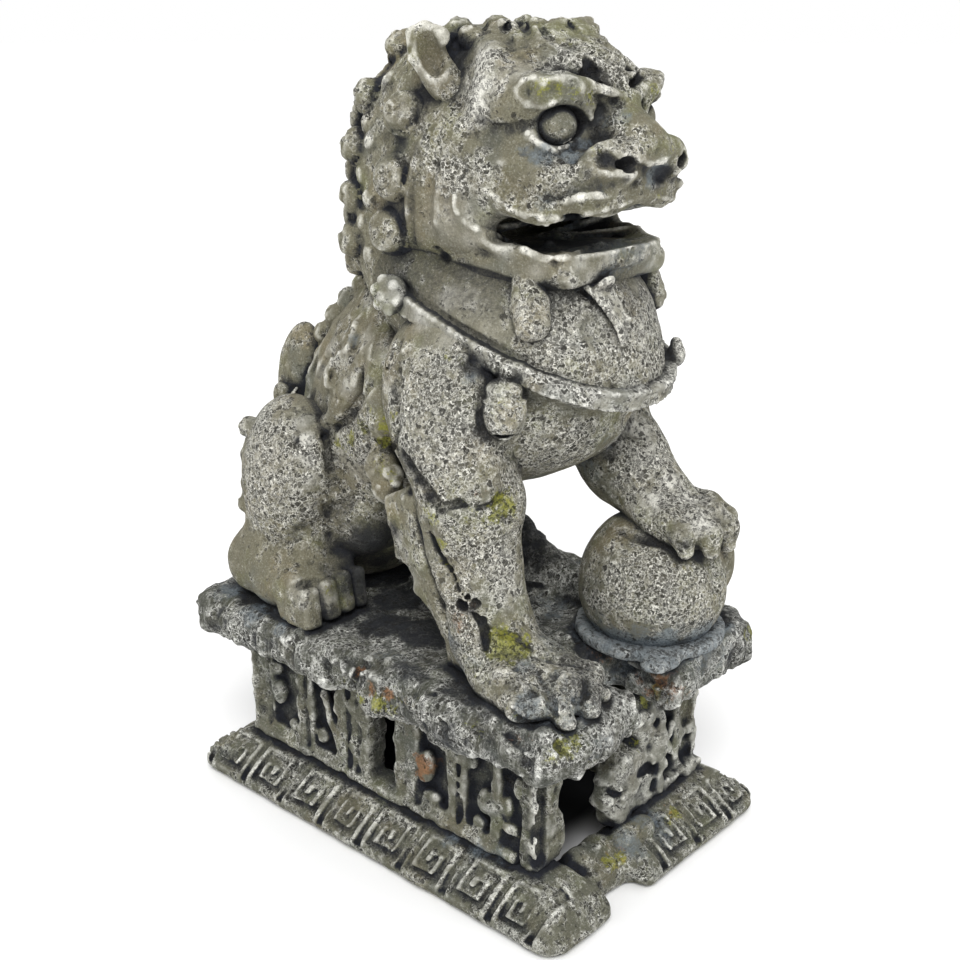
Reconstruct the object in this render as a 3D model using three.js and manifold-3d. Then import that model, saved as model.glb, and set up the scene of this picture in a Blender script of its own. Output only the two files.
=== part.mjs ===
// Guardian lion ornament on a pierced plinth, cast-stone look.
// Millimetres, +Z up. Origin: centre of the plinth's underside.
// The lion faces -Y; +X is the lion's own left side (the ball side).
import * as THREE from 'three';
import { mergeVertices } from 'three/addons/utils/BufferGeometryUtils.js';
import Module from 'manifold-3d';

// ---------------------------------------------------------------- driving dimensions
const GAP = 0.3;                 // clearance between neighbouring pieces

const BASE_L = 100;              // base course, along Y
const BASE_W = 68;               // base course, along X
const BASE_R = 5;                // its corner radius in plan
const BASE_LIP = 2.6;            // upright lip below the fret band
const BASE_H = 9;                // top of the base course
const BASE_INSET = 8;            // how far the fret band slopes in
const HOLLOW_L = 69.2;           // hollow through the base course
const HOLLOW_W = 40.8;

const WALL_Z0 = BASE_H + GAP;    // dado walls
const WALL_Z1 = 33 - GAP;
const WALL_T = 5.2;
const DADO_W = 51.6;
const DADO_L = 80;
const RECESS = 1.8;              // depth of the sunk panels in the side walls

const SLAB_Z0 = 33;              // top slab
const SLAB_Z1 = 42;
const SLAB_W = 68;
const SLAB_Y0 = -48.4;
const SLAB_Y1 = 49.6;
const SLAB_EDGE = 2.6;           // rounding of the slab's edge

const BALL_C = [13.8, -34.3, 53.0];
const BALL_R = 14.2;
const DISH_C = [14, -34];
const DISH_R = 14.3;
const DISH_Z1 = 44;

const EYE_C = [-10.5, -28.0, 137.2];
const EYE_R = 4.0;

const SEG = 10;                  // facets around a rounded form
const RING = 6;                  // facets from pole to pole

// ---------------------------------------------------------------- solids
const wasm = await Module();
wasm.setup();

// closed three.js geometry -> solid
function solid(geo) {
  geo.deleteAttribute('normal');
  geo.deleteAttribute('uv');
  const g = mergeVertices(geo, 1e-4);
  const p = g.getAttribute('position').array;
  const src = g.getIndex().array;
  const tri = [];
  let vol = 0;
  for (let i = 0; i < src.length; i += 3) {
    const [a, b, c] = [src[i], src[i + 1], src[i + 2]];
    if (a === b || b === c || a === c) continue;
    tri.push(a, b, c);
    const A = new THREE.Vector3().fromArray(p, a * 3);
    const B = new THREE.Vector3().fromArray(p, b * 3);
    const C = new THREE.Vector3().fromArray(p, c * 3);
    vol += A.dot(B.cross(C));
  }
  if (vol < 0) for (let i = 0; i < tri.length; i += 3) [tri[i], tri[i + 1]] = [tri[i + 1], tri[i]];
  return new wasm.Manifold(new wasm.Mesh({
    numProp: 3,
    vertProperties: Float32Array.from(p),
    triVerts: Uint32Array.from(tri),
  }));
}

const join = (list) => list.reduce((a, b) => a.add(b));
const rad = THREE.MathUtils.degToRad;

function place(geo, c, r = [0, 0, 0]) {
  const e = new THREE.Euler(rad(r[0]), rad(r[1]), rad(r[2]), 'ZYX');
  geo.applyMatrix4(new THREE.Matrix4().makeRotationFromEuler(e));
  geo.translate(c[0], c[1], c[2]);
  return geo;
}

// ellipsoid with half axes r
function ell(c, r, rotation, g = 0, seg = SEG, ring = RING) {
  const geo = new THREE.SphereGeometry(1, seg, ring);
  geo.rotateX(Math.PI / 2);
  geo.scale(r[0] + g, r[1] + g, r[2] + g);
  return solid(place(geo, c, rotation));
}

// rounded limb from a to b, radius ra to rb
function limb(a, b, ra, rb, g = 0, seg = 8) {
  const A = new THREE.Vector3(...a);
  const B = new THREE.Vector3(...b);
  const axis = B.clone().sub(A);
  const L = axis.length();
  const [p, q] = [ra + g, rb + g];
  const pts = [];
  for (const t of [-90, -45, 0]) pts.push(new THREE.Vector2(Math.max(p * Math.cos(rad(t)), 0), p * Math.sin(rad(t))));
  for (const t of [0, 45, 90]) pts.push(new THREE.Vector2(t === 90 ? 0 : q * Math.cos(rad(t)), L + q * Math.sin(rad(t))));
  pts[0].x = 0;
  const geo = new THREE.LatheGeometry(pts, seg);
  const turn = new THREE.Quaternion().setFromUnitVectors(new THREE.Vector3(0, 1, 0), axis.normalize());
  geo.applyQuaternion(turn);
  geo.translate(...a);
  return solid(geo);
}

// block with square edges
function block(c, half, rotation, g = 0) {
  const geo = new THREE.BoxGeometry(2 * (half[0] + g), 2 * (half[1] + g), 2 * (half[2] + g));
  return solid(place(geo, c, rotation));
}

// block between two corners
const span = (x0, x1, y0, y1, z0, z1) => block([(x0 + x1) / 2, (y0 + y1) / 2, (z0 + z1) / 2],
  [(x1 - x0) / 2, (y1 - y0) / 2, (z1 - z0) / 2]);

// round bar along a smooth curve
function bar(pts, r, g = 0, steps = 12, sides = 8) {
  const path = new THREE.CatmullRomCurve3(pts.map((p) => new THREE.Vector3(...p)));
  const sec = new THREE.Shape();
  for (let i = 0; i < sides; i++) {
    const a = (2 * Math.PI * i) / sides;
    const [x, y] = [(r + g) * Math.cos(a), (r + g) * Math.sin(a)];
    if (i) sec.lineTo(x, y); else sec.moveTo(x, y);
  }
  sec.closePath();
  return solid(new THREE.ExtrudeGeometry(sec, { steps, extrudePath: path }));
}

// rectangle with rounded corners, in plan
function plan(w, l, r, cy = 0) {
  const s = new THREE.Shape();
  const [x, y] = [w / 2, l / 2];
  s.moveTo(-x + r, cy - y);
  s.lineTo(x - r, cy - y);
  s.absarc(x - r, cy - y + r, r, -Math.PI / 2, 0, false);
  s.lineTo(x, cy + y - r);
  s.absarc(x - r, cy + y - r, r, 0, Math.PI / 2, false);
  s.lineTo(-x + r, cy + y);
  s.absarc(-x + r, cy + y - r, r, Math.PI / 2, Math.PI, false);
  s.lineTo(-x, cy - y + r);
  s.absarc(-x + r, cy - y + r, r, Math.PI, 1.5 * Math.PI, false);
  return s;
}

function prism(shape, z0, z1, curveSegments = 4) {
  const geo = new THREE.ExtrudeGeometry(shape, { depth: z1 - z0, bevelEnabled: false, curveSegments });
  geo.translate(0, 0, z0);
  return solid(geo);
}

const mirrorP = (p) => [-p[0], p[1], p[2]];
const mirrorR = (r) => (r ? [r[0], -r[1], -r[2]] : r);
// side s = -1: the lion's right as written, s = +1: mirrored to its left
const P = (s, p) => (s < 0 ? p : mirrorP(p));
const R = (s, r) => (s < 0 ? r : mirrorR(r));

// everything of the lion ends just above the slab
const UNDER_SLAB_TOP = () => span(-80, 80, -90, 90, -20, SLAB_Z1 + GAP);

// ---------------------------------------------------------------- plinth
function baseCourse() {
  const outline = plan(BASE_W - 2 * BASE_INSET, BASE_L - 2 * BASE_INSET, 1.2);
  const rise = BASE_H - BASE_LIP;
  const geo = new THREE.ExtrudeGeometry(outline, {
    depth: 2 * BASE_LIP, bevelEnabled: true, bevelThickness: rise, bevelSize: BASE_INSET, bevelSegments: 2, curveSegments: 3,
  });
  geo.translate(0, 0, -BASE_LIP);
  return solid(geo)
    .subtract(span(-80, 80, -90, 90, -30, 0))
    .subtract(prism(plan(HOLLOW_W, HOLLOW_L, 3), -1, BASE_H + 1))
    .subtract(block([-11, -50.5, 5], [5.5, 6, 12], [0, 0, 8]))      // step worn in front of the doorway
    .subtract(span(-16, 5, -47, -30, 6.6, 20));                     // threshold
}

function sideWall(s) {
  const x = (DADO_W - WALL_T) / 2;
  const face = s * DADO_W / 2;
  let w = block([s * x, 3, (WALL_Z0 + WALL_Z1) / 2], [WALL_T / 2, 37, (WALL_Z1 - WALL_Z0) / 2]);
  const sunk = (y0, y1, z0, z1) => block([face, (y0 + y1) / 2, (z0 + z1) / 2], [RECESS, (y1 - y0) / 2, (z1 - z0) / 2]);
  const panels = [[35.5, 38.8], [26.2, 31], [14, 20.5], [-16.5, -10], [-28.6, -21.4]];
  for (const [y0, y1] of panels) w = w.subtract(sunk(y0, y1, 12.5, 29.5));
  return w.subtract(span(s < 0 ? -40 : 10, s < 0 ? -10 : 40, -2.6, 4, 13, 28));   // pierced opening
}

const frontY = -(DADO_L / 2 - WALL_T / 2 - 0.3);

// ---------------------------------------------------------------- the lion, piece by piece
// Flat joint faces between the big pieces.
const JOINT_X = 12.5;            // legs and flanks meet the trunk
const JOINT_Y = -2;              // head and bib meet the mane
const SHOULDER_Y = 2;            // forelegs meet the flanks
const JAW_Z = 116.8;             // head meets jaw and bib
const NAPE_Z = 104.3;            // mane meets the trunk
const FLANK_Z = 80;              // haunches meet the back locks
const COLLAR_SLOPE = 0.44;       // the strap's plane rises to the rear
const COLLAR_Z = 90;             // its height at the front of the chest, y = -41
const RUMP_Y = 43;               // tail meets the rump

// everything on the side of a plane its normal points to, at distance d from the origin
function half(n, d) {
  const v = new THREE.Vector3(...n).normalize();
  const geo = new THREE.BoxGeometry(400, 400, 400);
  geo.translate(0, 0, 200);
  geo.applyQuaternion(new THREE.Quaternion().setFromUnitVectors(new THREE.Vector3(0, 0, 1), v));
  geo.translate(v.x * d, v.y * d, v.z * d);
  return solid(geo);
}
const strapN = new THREE.Vector3(0, -COLLAR_SLOPE, 1);
const strapD = (COLLAR_Z + COLLAR_SLOPE * 41) / strapN.length();
const aboveStrap = () => half([0, -COLLAR_SLOPE, 1], strapD - GAP / 2);
const belowStrap = () => half([0, COLLAR_SLOPE, -1], -(strapD + GAP / 2));

const trunk = (g) => [
  ell([0, -13, 89.5], [20.5, 21, 15.5], undefined, g),
  limb([0, -4, 90], [0, 25, 68], 19, 18.5, g, 12),
  ell([0, 30, 60], [19, 15, 19], undefined, g),
  ell([0, 14, 92], [14, 16, 12], [40, 0, 0], g),
];

// Each entry builds its form grown by g; g is 0 for the piece itself.
const forms = {
  ball: (g) => ell(BALL_C, [BALL_R, BALL_R, BALL_R], undefined, g, 16, 10)
    .subtract(span(-80, 80, -90, 90, 0, 43.2 - g)),

  torso: (g) => join(trunk(g))
    .subtract(half([1, 0, 0], JOINT_X - GAP)).subtract(half([-1, 0, 0], JOINT_X - GAP))
    .subtract(half([0, 0, 1], NAPE_Z - GAP)).subtract(half([0, 1, 0], RUMP_Y)).subtract(aboveStrap()),

  right_foreleg: (g) => join([
    ell([-19, -11, 91], [8.5, 13, 15], [-8, 0, 0], g),
    limb([-20, -14, 84], [-20, -17.5, 74], 9.6, 8.8, g),
    ell([-20.5, -20, 74.5], [8.2, 8.6, 7.5], undefined, g, 10, 6),
    limb([-20, -18.5, 72], [-20, -23.5, 50], 8, 7, g),
    limb([-20, -23.5, 50], [-20.3, -31, 47.5], 7.2, 6.2, g),
    ell([-20.5, -34, 46.2], [9.8, 13, 6], undefined, g),
    ...[[-28.6, -41, 45.6, 3.7], [-24.2, -45, 45.7, 4], [-18.4, -45.6, 45.7, 4], [-13.4, -42.2, 45.6, 3.6]]
      .map(([x, y, z, r]) => limb([x * 0.9 - 2, y + 9, 47.5], [x, y, z], r * 0.8, r, g, 6)),
  ]).subtract(span(-JOINT_X, 60, -80, 60, 73, 140)).subtract(half([0, 1, 0], SHOULDER_Y)).subtract(aboveStrap()),

  left_foreleg: (g) => join([
    ell([18, -11, 91], [8.5, 13, 15], [-8, 0, 0], g),
    limb([18, -14, 85], [17, -24.5, 74], 9.6, 8.2, g),
    limb([17, -24.5, 74], [15.8, -32.5, 69], 8, 6.8, g),
    ell([14.4, -39, 66.4], [8.4, 9.3, 4.6], [14, 0, 0], g),
    ...[[7.8, -43.2, 65.4, 3.1], [11.8, -46.2, 64.8, 3.4], [16.8, -46.6, 64.6, 3.4], [21, -43.8, 64.8, 3.1]]
      .map(([x, y, z, r]) => limb([x * 0.6 + 5.6, y + 8, 68], [x, y, z], r * 0.85, r, g, 6)),
  ]).subtract(span(-60, JOINT_X, -80, 60, 73, 140)).subtract(half([0, 1, 0], SHOULDER_Y)).subtract(aboveStrap()),

  neck_bib: (g) => join([
    ell([0, -12.5, 105], [21.3, 25, 14], undefined, g, 14, 8),
    ell([0, -17, 97.5], [20.5, 24, 11.5], undefined, g, 14, 8),
  ]).subtract(half([0, 1, 0], JOINT_Y - GAP)).subtract(half([0, 0, 1], JAW_Z - GAP)).subtract(belowStrap()),

  mane: (g) => join([
    ell([0, 2, 129], [20, 17.5, 22.5], undefined, g, 12, 8),
    ell([0, 6, 112], [18.5, 14, 15], undefined, g),
    ...maneCurls.map((c) => ell(c, [4, 4, 4], undefined, g, 6, 4)),
  ]).subtract(half([0, -1, 0], -JOINT_Y)).subtract(half([0, 0, -1], -NAPE_Z)),

  head: (g) => {
    const sides = [-1, 1];
    return join([
      ell([0, -8, 134], [18.5, 22, 17.5], undefined, g, 12, 8),
      block([0, -19, 130], [13.5, 10, 10.5], undefined, g),
      ell([0, -17, 145], [14.5, 13, 7.5], undefined, g),
      ell([0, -26.5, 129], [15.8, 10, 6.6], undefined, g),
      limb([0, -29, 140], [0, -34.5, 134], 4.6, 5.6, g, 6),
      ell([0, -36, 131.5], [6.5, 4.6, 5], undefined, g, 8, 6),
      ...sides.map((s) => ell(P(s, [-15.5, -8, 126]), [6.5, 12.5, 14.5], undefined, g)),
      ...sides.map((s) => ell(P(s, [-6.9, -35.6, 130.6]), [4.3, 4.2, 4.1], undefined, g, 8, 6)),
      ...sides.map((s) => bar([[-16.5, -19, 142], [-12.5, -26.5, 143.6], [-7.8, -30.6, 143], [-4.4, -32.4, 140]].map((p) => P(s, p)), 2.6, g, 4, 5)),
      bar([[-18, -11, 127], [-17.4, -19, 125.8], [-15, -28.5, 123.6], [-8, -34.8, 124.3], [0, -36.4, 125.4],
        [8, -34.8, 124.3], [15, -28.5, 123.6], [17.4, -19, 125.8], [18, -11, 127]], 2.3, g, 10, 5),
    ]).subtract(block([0, -24, 118.3], [13.2, 17, 4.6]))
      .subtract(half([0, 0, -1], -JAW_Z)).subtract(half([0, 1, 0], JOINT_Y - GAP));
  },

  lower_jaw: (g) => join([
    ell([0, -15, 112.2], [16, 14.5, 4.6], undefined, g),
    block([0, -23, 112.2], [12, 7.6, 2.4], undefined, g),
    bar([[-17.2, -12, 116], [-16.4, -18, 115.6], [-13.6, -28.2, 115.2], [-7, -31.4, 116], [0, -32, 116.4],
      [7, -31.4, 116], [13.6, -28.2, 115.2], [16.4, -18, 115.6], [17.2, -12, 116]], 1.9, g, 10, 5),
  ]).subtract(span(-60, 60, -20.5, 40, JAW_Z - GAP, 140)).subtract(half([0, 1, 0], JOINT_Y - GAP)),

  collar: (g) => bar(collarLine, 1.9, g, 18, 5),

  beard_tuft: (g) => limb([1.5, -31, 110.5], [3, -38.2, 101.5], 3.2, 1.6, g, 6),

  tail: (g) => join([
    limb([-3, 44, 60], [-4, 45.4, 72], 4.2, 4.6, g),
    limb([-4, 45.4, 72], [-5, 44.2, 84], 4.6, 4.4, g),
    limb([-5, 44.2, 84], [-5, 42.5, 92], 4.4, 2.6, g),
  ]).subtract(half([0, -1, 0], -(RUMP_Y + GAP))),

  right_leg_fringe: (g) => join([
    block([-26, -7, 72.5], [1.6, 2.6, 8], [-14, 0, 0], g),
    block([-26, -10.5, 58.5], [1.6, 3, 9], [-12, 0, 0], g),
    block([-25.5, -15.5, 47], [1.6, 3.4, 5], [-18, 0, 0], g),
  ]),
};

const collarLine = [];
const maneCurls = [];

function sided(name, make) {
  forms[`right_${name}`] = (g) => make(-1, g);
  forms[`left_${name}`] = (g) => make(1, g);
}
// the part of the body outside the trunk's joint face, behind the shoulder
const flank = (s, m) => m.subtract(half([-s, 0, 0], -JOINT_X)).subtract(half([0, -1, 0], -(SHOULDER_Y + GAP)));

sided('hind_leg', (s, g) => flank(s, join([
  limb([0, -4, 90], [0, 25, 68], 19, 18.5, g, 12),
  ell([0, 30, 60], [19, 15, 19], undefined, g),
  ell(P(s, [-20, 30, 67]), [9.5, 11, 17.5], R(s, [6, 0, 0]), g),
  ell(P(s, [-19, 17, 60]), [8, 10, 13], R(s, [-20, 0, 0]), g),
  ell(P(s, [-22, 30, 50]), [9.5, 14, 9], undefined, g),
  limb(P(s, [-24, 28, 47.5]), P(s, [-23.5, 17, 47]), 6, 5.6, g),
  ...[[-29, 13.5, 45.6, 3.2], [-25, 10.8, 45.9, 3.5], [-20.5, 10.6, 45.9, 3.5], [-16.8, 13, 45.6, 3.2]]
    .map(([x, y, z, r]) => limb(P(s, [x * 0.8 - 4.6, y + 7, 47.6]), P(s, [x, y, z]), r * 0.85, r, g, 6)),
])).subtract(span(-60, 60, -20, 19, FLANK_Z, 140)));

sided('back_locks', (s, g) => flank(s, join([
  limb([0, -4, 90], [0, 25, 68], 19, 18.5, g, 12),
  limb(P(s, [-14, 6, 103]), P(s, [-19.5, 4, 82]), 4, 4, g, 8),
  limb(P(s, [-13, 11, 100]), P(s, [-18.6, 10, 81]), 4, 3.6, g, 8),
  limb(P(s, [-12, 15.5, 96]), P(s, [-17, 15.5, 81]), 4, 3.2, g, 8),
])).subtract(half([0, 0, -1], -(FLANK_Z + GAP))).subtract(half([0, 1, 0], 19 - GAP)).subtract(half([0, 0, 1], NAPE_Z - GAP)));

sided('ear', (s, g) => ell(P(s, [-17.5, -4.5, 147.2]), [3.2, 3.6, 6.4], R(s, [-12, -18, 30]), g, 8, 6));
sided('eye', (s, g) => join([
  ell(P(s, EYE_C), [EYE_R, EYE_R, EYE_R], undefined, g, 10, 6),
  ell(P(s, [-11.6, -31.2, 137.6]), [2.2, 1.3, 2.2], undefined, g, 6, 4),
]));
sided('rosette', (s, g) => ell(P(s, [-20.5, 0.5, 108.5]), [2.6, 3.6, 3.6], undefined, g, 8, 6));
sided('bell', (s, g) => join([
  ell(P(s, [-20, -24.5, 88.5]), [4.2, 4.2, 5.6], undefined, g, 8, 6),
  ell(P(s, [-19.6, -24.5, 94]), [2.4, 2.4, 2.2], undefined, g, 6, 4),
]));
sided('beard_curl', (s, g) => limb(P(s, [-13.5, -26, 109]), P(s, [-14, -31.5, 103.2]), 3, 3.6, g, 6));

// ---------------------------------------------------------------- which neighbour keeps its full form
const cutBy = {
  collar: ['right_rosette', 'left_rosette', 'right_bell', 'left_bell'],
  mane: ['right_rosette', 'left_rosette', 'right_ear', 'left_ear', 'collar'],
  head: ['right_ear', 'left_ear', 'right_eye', 'left_eye'],
  beard_tuft: ['lower_jaw', 'collar'],
  right_beard_curl: ['lower_jaw', 'collar'],
  left_beard_curl: ['lower_jaw', 'collar'],
  neck_bib: ['lower_jaw', 'collar', 'right_rosette', 'left_rosette', 'beard_tuft', 'right_beard_curl', 'left_beard_curl', 'right_bell', 'left_bell'],
  right_foreleg: ['collar', 'right_rosette', 'right_bell'],
  left_foreleg: ['collar', 'left_rosette', 'left_bell', 'ball'],
  right_leg_fringe: ['right_foreleg'],
  right_back_locks: ['right_rosette'],
  left_back_locks: ['left_rosette'],
  torso: ['collar'],
};
const standsOnSlab = ['torso', 'right_foreleg', 'right_hind_leg', 'left_hind_leg', 'right_leg_fringe', 'tail'];

// the strap hangs from the rosettes behind the cheeks round the front of the chest
for (const [x, y] of [[-21.2, -2.5], [-21.8, -9], [-21.2, -17], [-18.6, -26], [-13, -34.4], [-6.5, -39.6]]) {
  collarLine.push([x, y, COLLAR_Z + COLLAR_SLOPE * (y + 41)]);
}
for (const p of [...collarLine].reverse()) collarLine.push(mirrorP(p));
collarLine.splice(6, 0, [0, -41.2, COLLAR_Z]);

// snail curls in rows over the mane cap
for (const [el, n] of [[-42, 5], [-16, 6], [11, 6], [37, 5], [62, 3]]) {
  for (let i = 0; i < n; i++) {
    const az = rad(THREE.MathUtils.lerp(-84, 84, i / (n - 1)));
    const e = rad(el);
    maneCurls.push([20 * Math.cos(e) * Math.sin(az), 2 + 17.5 * Math.cos(e) * Math.cos(az), 129 + 22.5 * Math.sin(e)]);
  }
}

// ---------------------------------------------------------------- materials
const stone = (color) => new THREE.MeshStandardMaterial({ color, roughness: 0.85, metalness: 0 });
const tint = {
  plinth: 0x6f6f63, slab: 0x5d625f, body: 0x8a8676, head: 0x8f8b7b, hair: 0x85836f, trim: 0x7c7a6a, ball: 0x8b8a78, eye: 0x77745f,
};

// ---------------------------------------------------------------- assembly
// the largest closed shell of a cut piece
function mainShell(m) {
  const mesh = m.getMesh();
  const n = mesh.triVerts.length / 3;
  const pos = mesh.vertProperties;
  const root = new Map();
  const key = (v) => `${pos[v * 3].toFixed(4)},${pos[v * 3 + 1].toFixed(4)},${pos[v * 3 + 2].toFixed(4)}`;
  const id = new Int32Array(pos.length / 3);
  for (let v = 0; v < id.length; v++) {
    const k = key(v);
    if (!root.has(k)) root.set(k, root.size);
    id[v] = root.get(k);
  }
  const up = Int32Array.from({ length: root.size }, (_, i) => i);
  const find = (i) => { while (up[i] !== i) { up[i] = up[up[i]]; i = up[i]; } return i; };
  for (let t = 0; t < n; t++) {
    const [a, b, c] = [0, 1, 2].map((k) => find(id[mesh.triVerts[t * 3 + k]]));
    up[a] = c; up[find(b)] = find(c);
  }
  const vol = new Map();
  const A = new THREE.Vector3(); const B = new THREE.Vector3(); const C = new THREE.Vector3();
  for (let t = 0; t < n; t++) {
    const [a, b, c] = [0, 1, 2].map((k) => mesh.triVerts[t * 3 + k]);
    A.fromArray(pos, a * 3); B.fromArray(pos, b * 3); C.fromArray(pos, c * 3);
    const r = find(id[a]);
    vol.set(r, (vol.get(r) || 0) + A.dot(B.cross(C)));
  }
  const best = [...vol.entries()].sort((p, q) => q[1] - p[1])[0][0];
  const tris = [];
  for (let t = 0; t < n; t++) if (find(id[mesh.triVerts[t * 3]]) === best) tris.push(mesh.triVerts[t * 3], mesh.triVerts[t * 3 + 1], mesh.triVerts[t * 3 + 2]);
  const geo = new THREE.BufferGeometry();
  geo.setAttribute('position', new THREE.BufferAttribute(Float32Array.from(pos), 3));
  geo.setIndex(tris);
  const out = geo.toNonIndexed();
  const merged = mergeVertices(out, 1e-5);
  merged.computeVertexNormals();
  return merged;
}

const lionOrnament = new THREE.Group();
lionOrnament.name = 'lion_ornament';
const plinth = new THREE.Group();
const lion = new THREE.Group();
lionOrnament.add(plinth, lion);

function addPiece(group, name, manifold, color) {
  const mesh = new THREE.Mesh(mainShell(manifold), stone(color));
  mesh.name = name;
  group.add(mesh);
}

addPiece(plinth, 'base_course', baseCourse(), tint.plinth);
addPiece(plinth, 'wall_right', sideWall(-1), tint.plinth);
addPiece(plinth, 'wall_left', sideWall(1), tint.plinth);
addPiece(plinth, 'wall_rear', span(-(DADO_W / 2 - WALL_T - GAP), DADO_W / 2 - WALL_T - GAP, DADO_L / 2 - WALL_T, DADO_L / 2, WALL_Z0, WALL_Z1), tint.plinth);
addPiece(plinth, 'pier_front_right', span(-DADO_W / 2, -19.4, frontY - 2.9, frontY + 2.9, WALL_Z0, WALL_Z1), tint.plinth);
addPiece(plinth, 'pier_front_left', span(5.6, DADO_W / 2, frontY - 2.9, frontY + 2.9, WALL_Z0, WALL_Z1), tint.plinth);

const slabGeo = new THREE.ExtrudeGeometry(plan(SLAB_W - 2 * SLAB_EDGE, SLAB_Y1 - SLAB_Y0 - 2 * SLAB_EDGE, 4, (SLAB_Y0 + SLAB_Y1) / 2), {
  depth: SLAB_Z1 - SLAB_Z0 - 2 * SLAB_EDGE, bevelEnabled: true, bevelThickness: SLAB_EDGE, bevelSize: SLAB_EDGE, bevelSegments: 2, curveSegments: 3,
});
slabGeo.translate(0, 0, SLAB_Z0 + SLAB_EDGE);
addPiece(plinth, 'top_slab', solid(slabGeo).subtract(block([-2, -42, 37.5], [5.4, 12, 9], [0, 0, -4])), tint.slab);

// the shallow dish the ball is bedded in
const dishGeo = new THREE.LatheGeometry([[0, SLAB_Z1 + GAP], [DISH_R, SLAB_Z1 + GAP], [DISH_R, DISH_Z1 - 0.8], [DISH_R - 0.8, DISH_Z1], [0, DISH_Z1]]
  .map(([x, y]) => new THREE.Vector2(x, y)), 20);
dishGeo.rotateX(Math.PI / 2);
dishGeo.translate(DISH_C[0], DISH_C[1], 0);
addPiece(plinth, 'ball_dish', solid(dishGeo).subtract(forms.ball(GAP)), tint.slab);

const colorOf = (name) => {
  if (/eye/.test(name)) return tint.eye;
  if (/collar|rosette|bell/.test(name)) return tint.trim;
  if (/mane|beard|locks|tail|fringe/.test(name)) return tint.hair;
  if (/head|jaw|ear/.test(name)) return tint.head;
  return name === 'ball' ? tint.ball : tint.body;
};

for (const name of Object.keys(forms)) {
  let m = forms[name](0);
  for (const other of cutBy[name] || []) m = m.subtract(forms[other](GAP));
  if (standsOnSlab.includes(name)) m = m.subtract(UNDER_SLAB_TOP());
  addPiece(lion, name, m, colorOf(name));
}

export default lionOrnament;
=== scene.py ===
import bpy
import numpy as np
from mathutils import Matrix, Vector


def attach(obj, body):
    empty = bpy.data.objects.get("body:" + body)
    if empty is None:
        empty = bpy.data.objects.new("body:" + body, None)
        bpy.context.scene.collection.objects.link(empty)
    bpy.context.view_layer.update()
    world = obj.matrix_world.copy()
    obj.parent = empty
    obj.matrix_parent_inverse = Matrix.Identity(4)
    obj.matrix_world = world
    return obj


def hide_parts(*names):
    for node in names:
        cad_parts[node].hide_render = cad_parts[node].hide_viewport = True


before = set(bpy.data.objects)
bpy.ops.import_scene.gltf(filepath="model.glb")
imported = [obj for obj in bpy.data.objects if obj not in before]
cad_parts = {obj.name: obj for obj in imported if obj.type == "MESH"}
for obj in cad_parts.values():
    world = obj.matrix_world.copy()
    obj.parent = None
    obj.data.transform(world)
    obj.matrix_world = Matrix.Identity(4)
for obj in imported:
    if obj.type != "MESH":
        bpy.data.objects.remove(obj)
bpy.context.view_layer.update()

F = np.float32
BIG = 9.0

# ------------------------------------------------------------------ fields
class Grid:
    """A box of sample points, millimetres."""
    def __init__(s, lo, hi, h):
        s.h = float(h)
        s.lo = np.array(lo, float)
        s.n = np.ceil((np.array(hi, float) - s.lo) / h).astype(int) + 1
        s.ax = [(s.lo[i] + h * np.arange(s.n[i])).astype(F) for i in range(3)]

    def sl(s, lo, hi):
        a = np.clip(np.floor((np.array(lo) - s.lo) / s.h).astype(int), 0, s.n)
        b = np.clip(np.ceil((np.array(hi) - s.lo) / s.h).astype(int) + 1, 0, s.n)
        return tuple(slice(int(x), int(y)) for x, y in zip(a, b))

    def pts(s, sl):
        x, y, z = (s.ax[i][sl[i]] for i in range(3))
        return x[:, None, None], y[None, :, None], z[None, None, :]


def smin(a, b, k):
    if k <= 0:
        return np.minimum(a, b)
    h = np.maximum(F(k) - np.abs(a - b), 0) * F(1 / k)
    return np.minimum(a, b) - h * h * F(k * 0.25)


def smax(a, b, k):
    return -smin(-a, -b, k)


def rot(ax=0, ay=0, az=0):
    """Columns are the local axes; degrees, turned about X, then Y, then Z."""
    a, b, c = np.radians([ax, ay, az])
    X = np.array([[1, 0, 0], [0, np.cos(a), -np.sin(a)], [0, np.sin(a), np.cos(a)]])
    Y = np.array([[np.cos(b), 0, np.sin(b)], [0, 1, 0], [-np.sin(b), 0, np.cos(b)]])
    Z = np.array([[np.cos(c), -np.sin(c), 0], [np.sin(c), np.cos(c), 0], [0, 0, 1]])
    return Z @ Y @ X


def loc(P, c, R=None):
    x, y, z = P[0] - F(c[0]), P[1] - F(c[1]), P[2] - F(c[2])
    if R is None:
        return x, y, z
    R = np.asarray(R, F)
    return tuple(R[0, i] * x + R[1, i] * y + R[2, i] * z for i in range(3))


class Op:
    def __init__(s, f, lo, hi, k=0.0, mode="+"):
        s.f, s.lo, s.hi, s.k, s.mode = f, np.array(lo, float), np.array(hi, float), k, mode

    def mirrored(s):
        f = s.f
        lo, hi = s.lo.copy(), s.hi.copy()
        lo[0], hi[0] = -s.hi[0], -s.lo[0]
        return Op(lambda P: f((-P[0], P[1], P[2])), lo, hi, s.k, s.mode)


def ell(c, r, R=None, k=0.0, mode="+"):
    c, r = np.array(c, float), np.array(r, float) * np.ones(3)
    M = np.eye(3) if R is None else np.asarray(R)
    e = np.sqrt(((M * r) ** 2).sum(1))

    def f(P):
        x, y, z = loc(P, c, R)
        x, y, z = x * F(1 / r[0]), y * F(1 / r[1]), z * F(1 / r[2])
        k0 = np.sqrt(x * x + y * y + z * z)
        k1 = np.sqrt((x * F(1 / r[0])) ** 2 + (y * F(1 / r[1])) ** 2 + (z * F(1 / r[2])) ** 2)
        return k0 * (k0 - 1) / np.maximum(k1, F(1e-6))
    return Op(f, c - e, c + e, k, mode)


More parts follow.
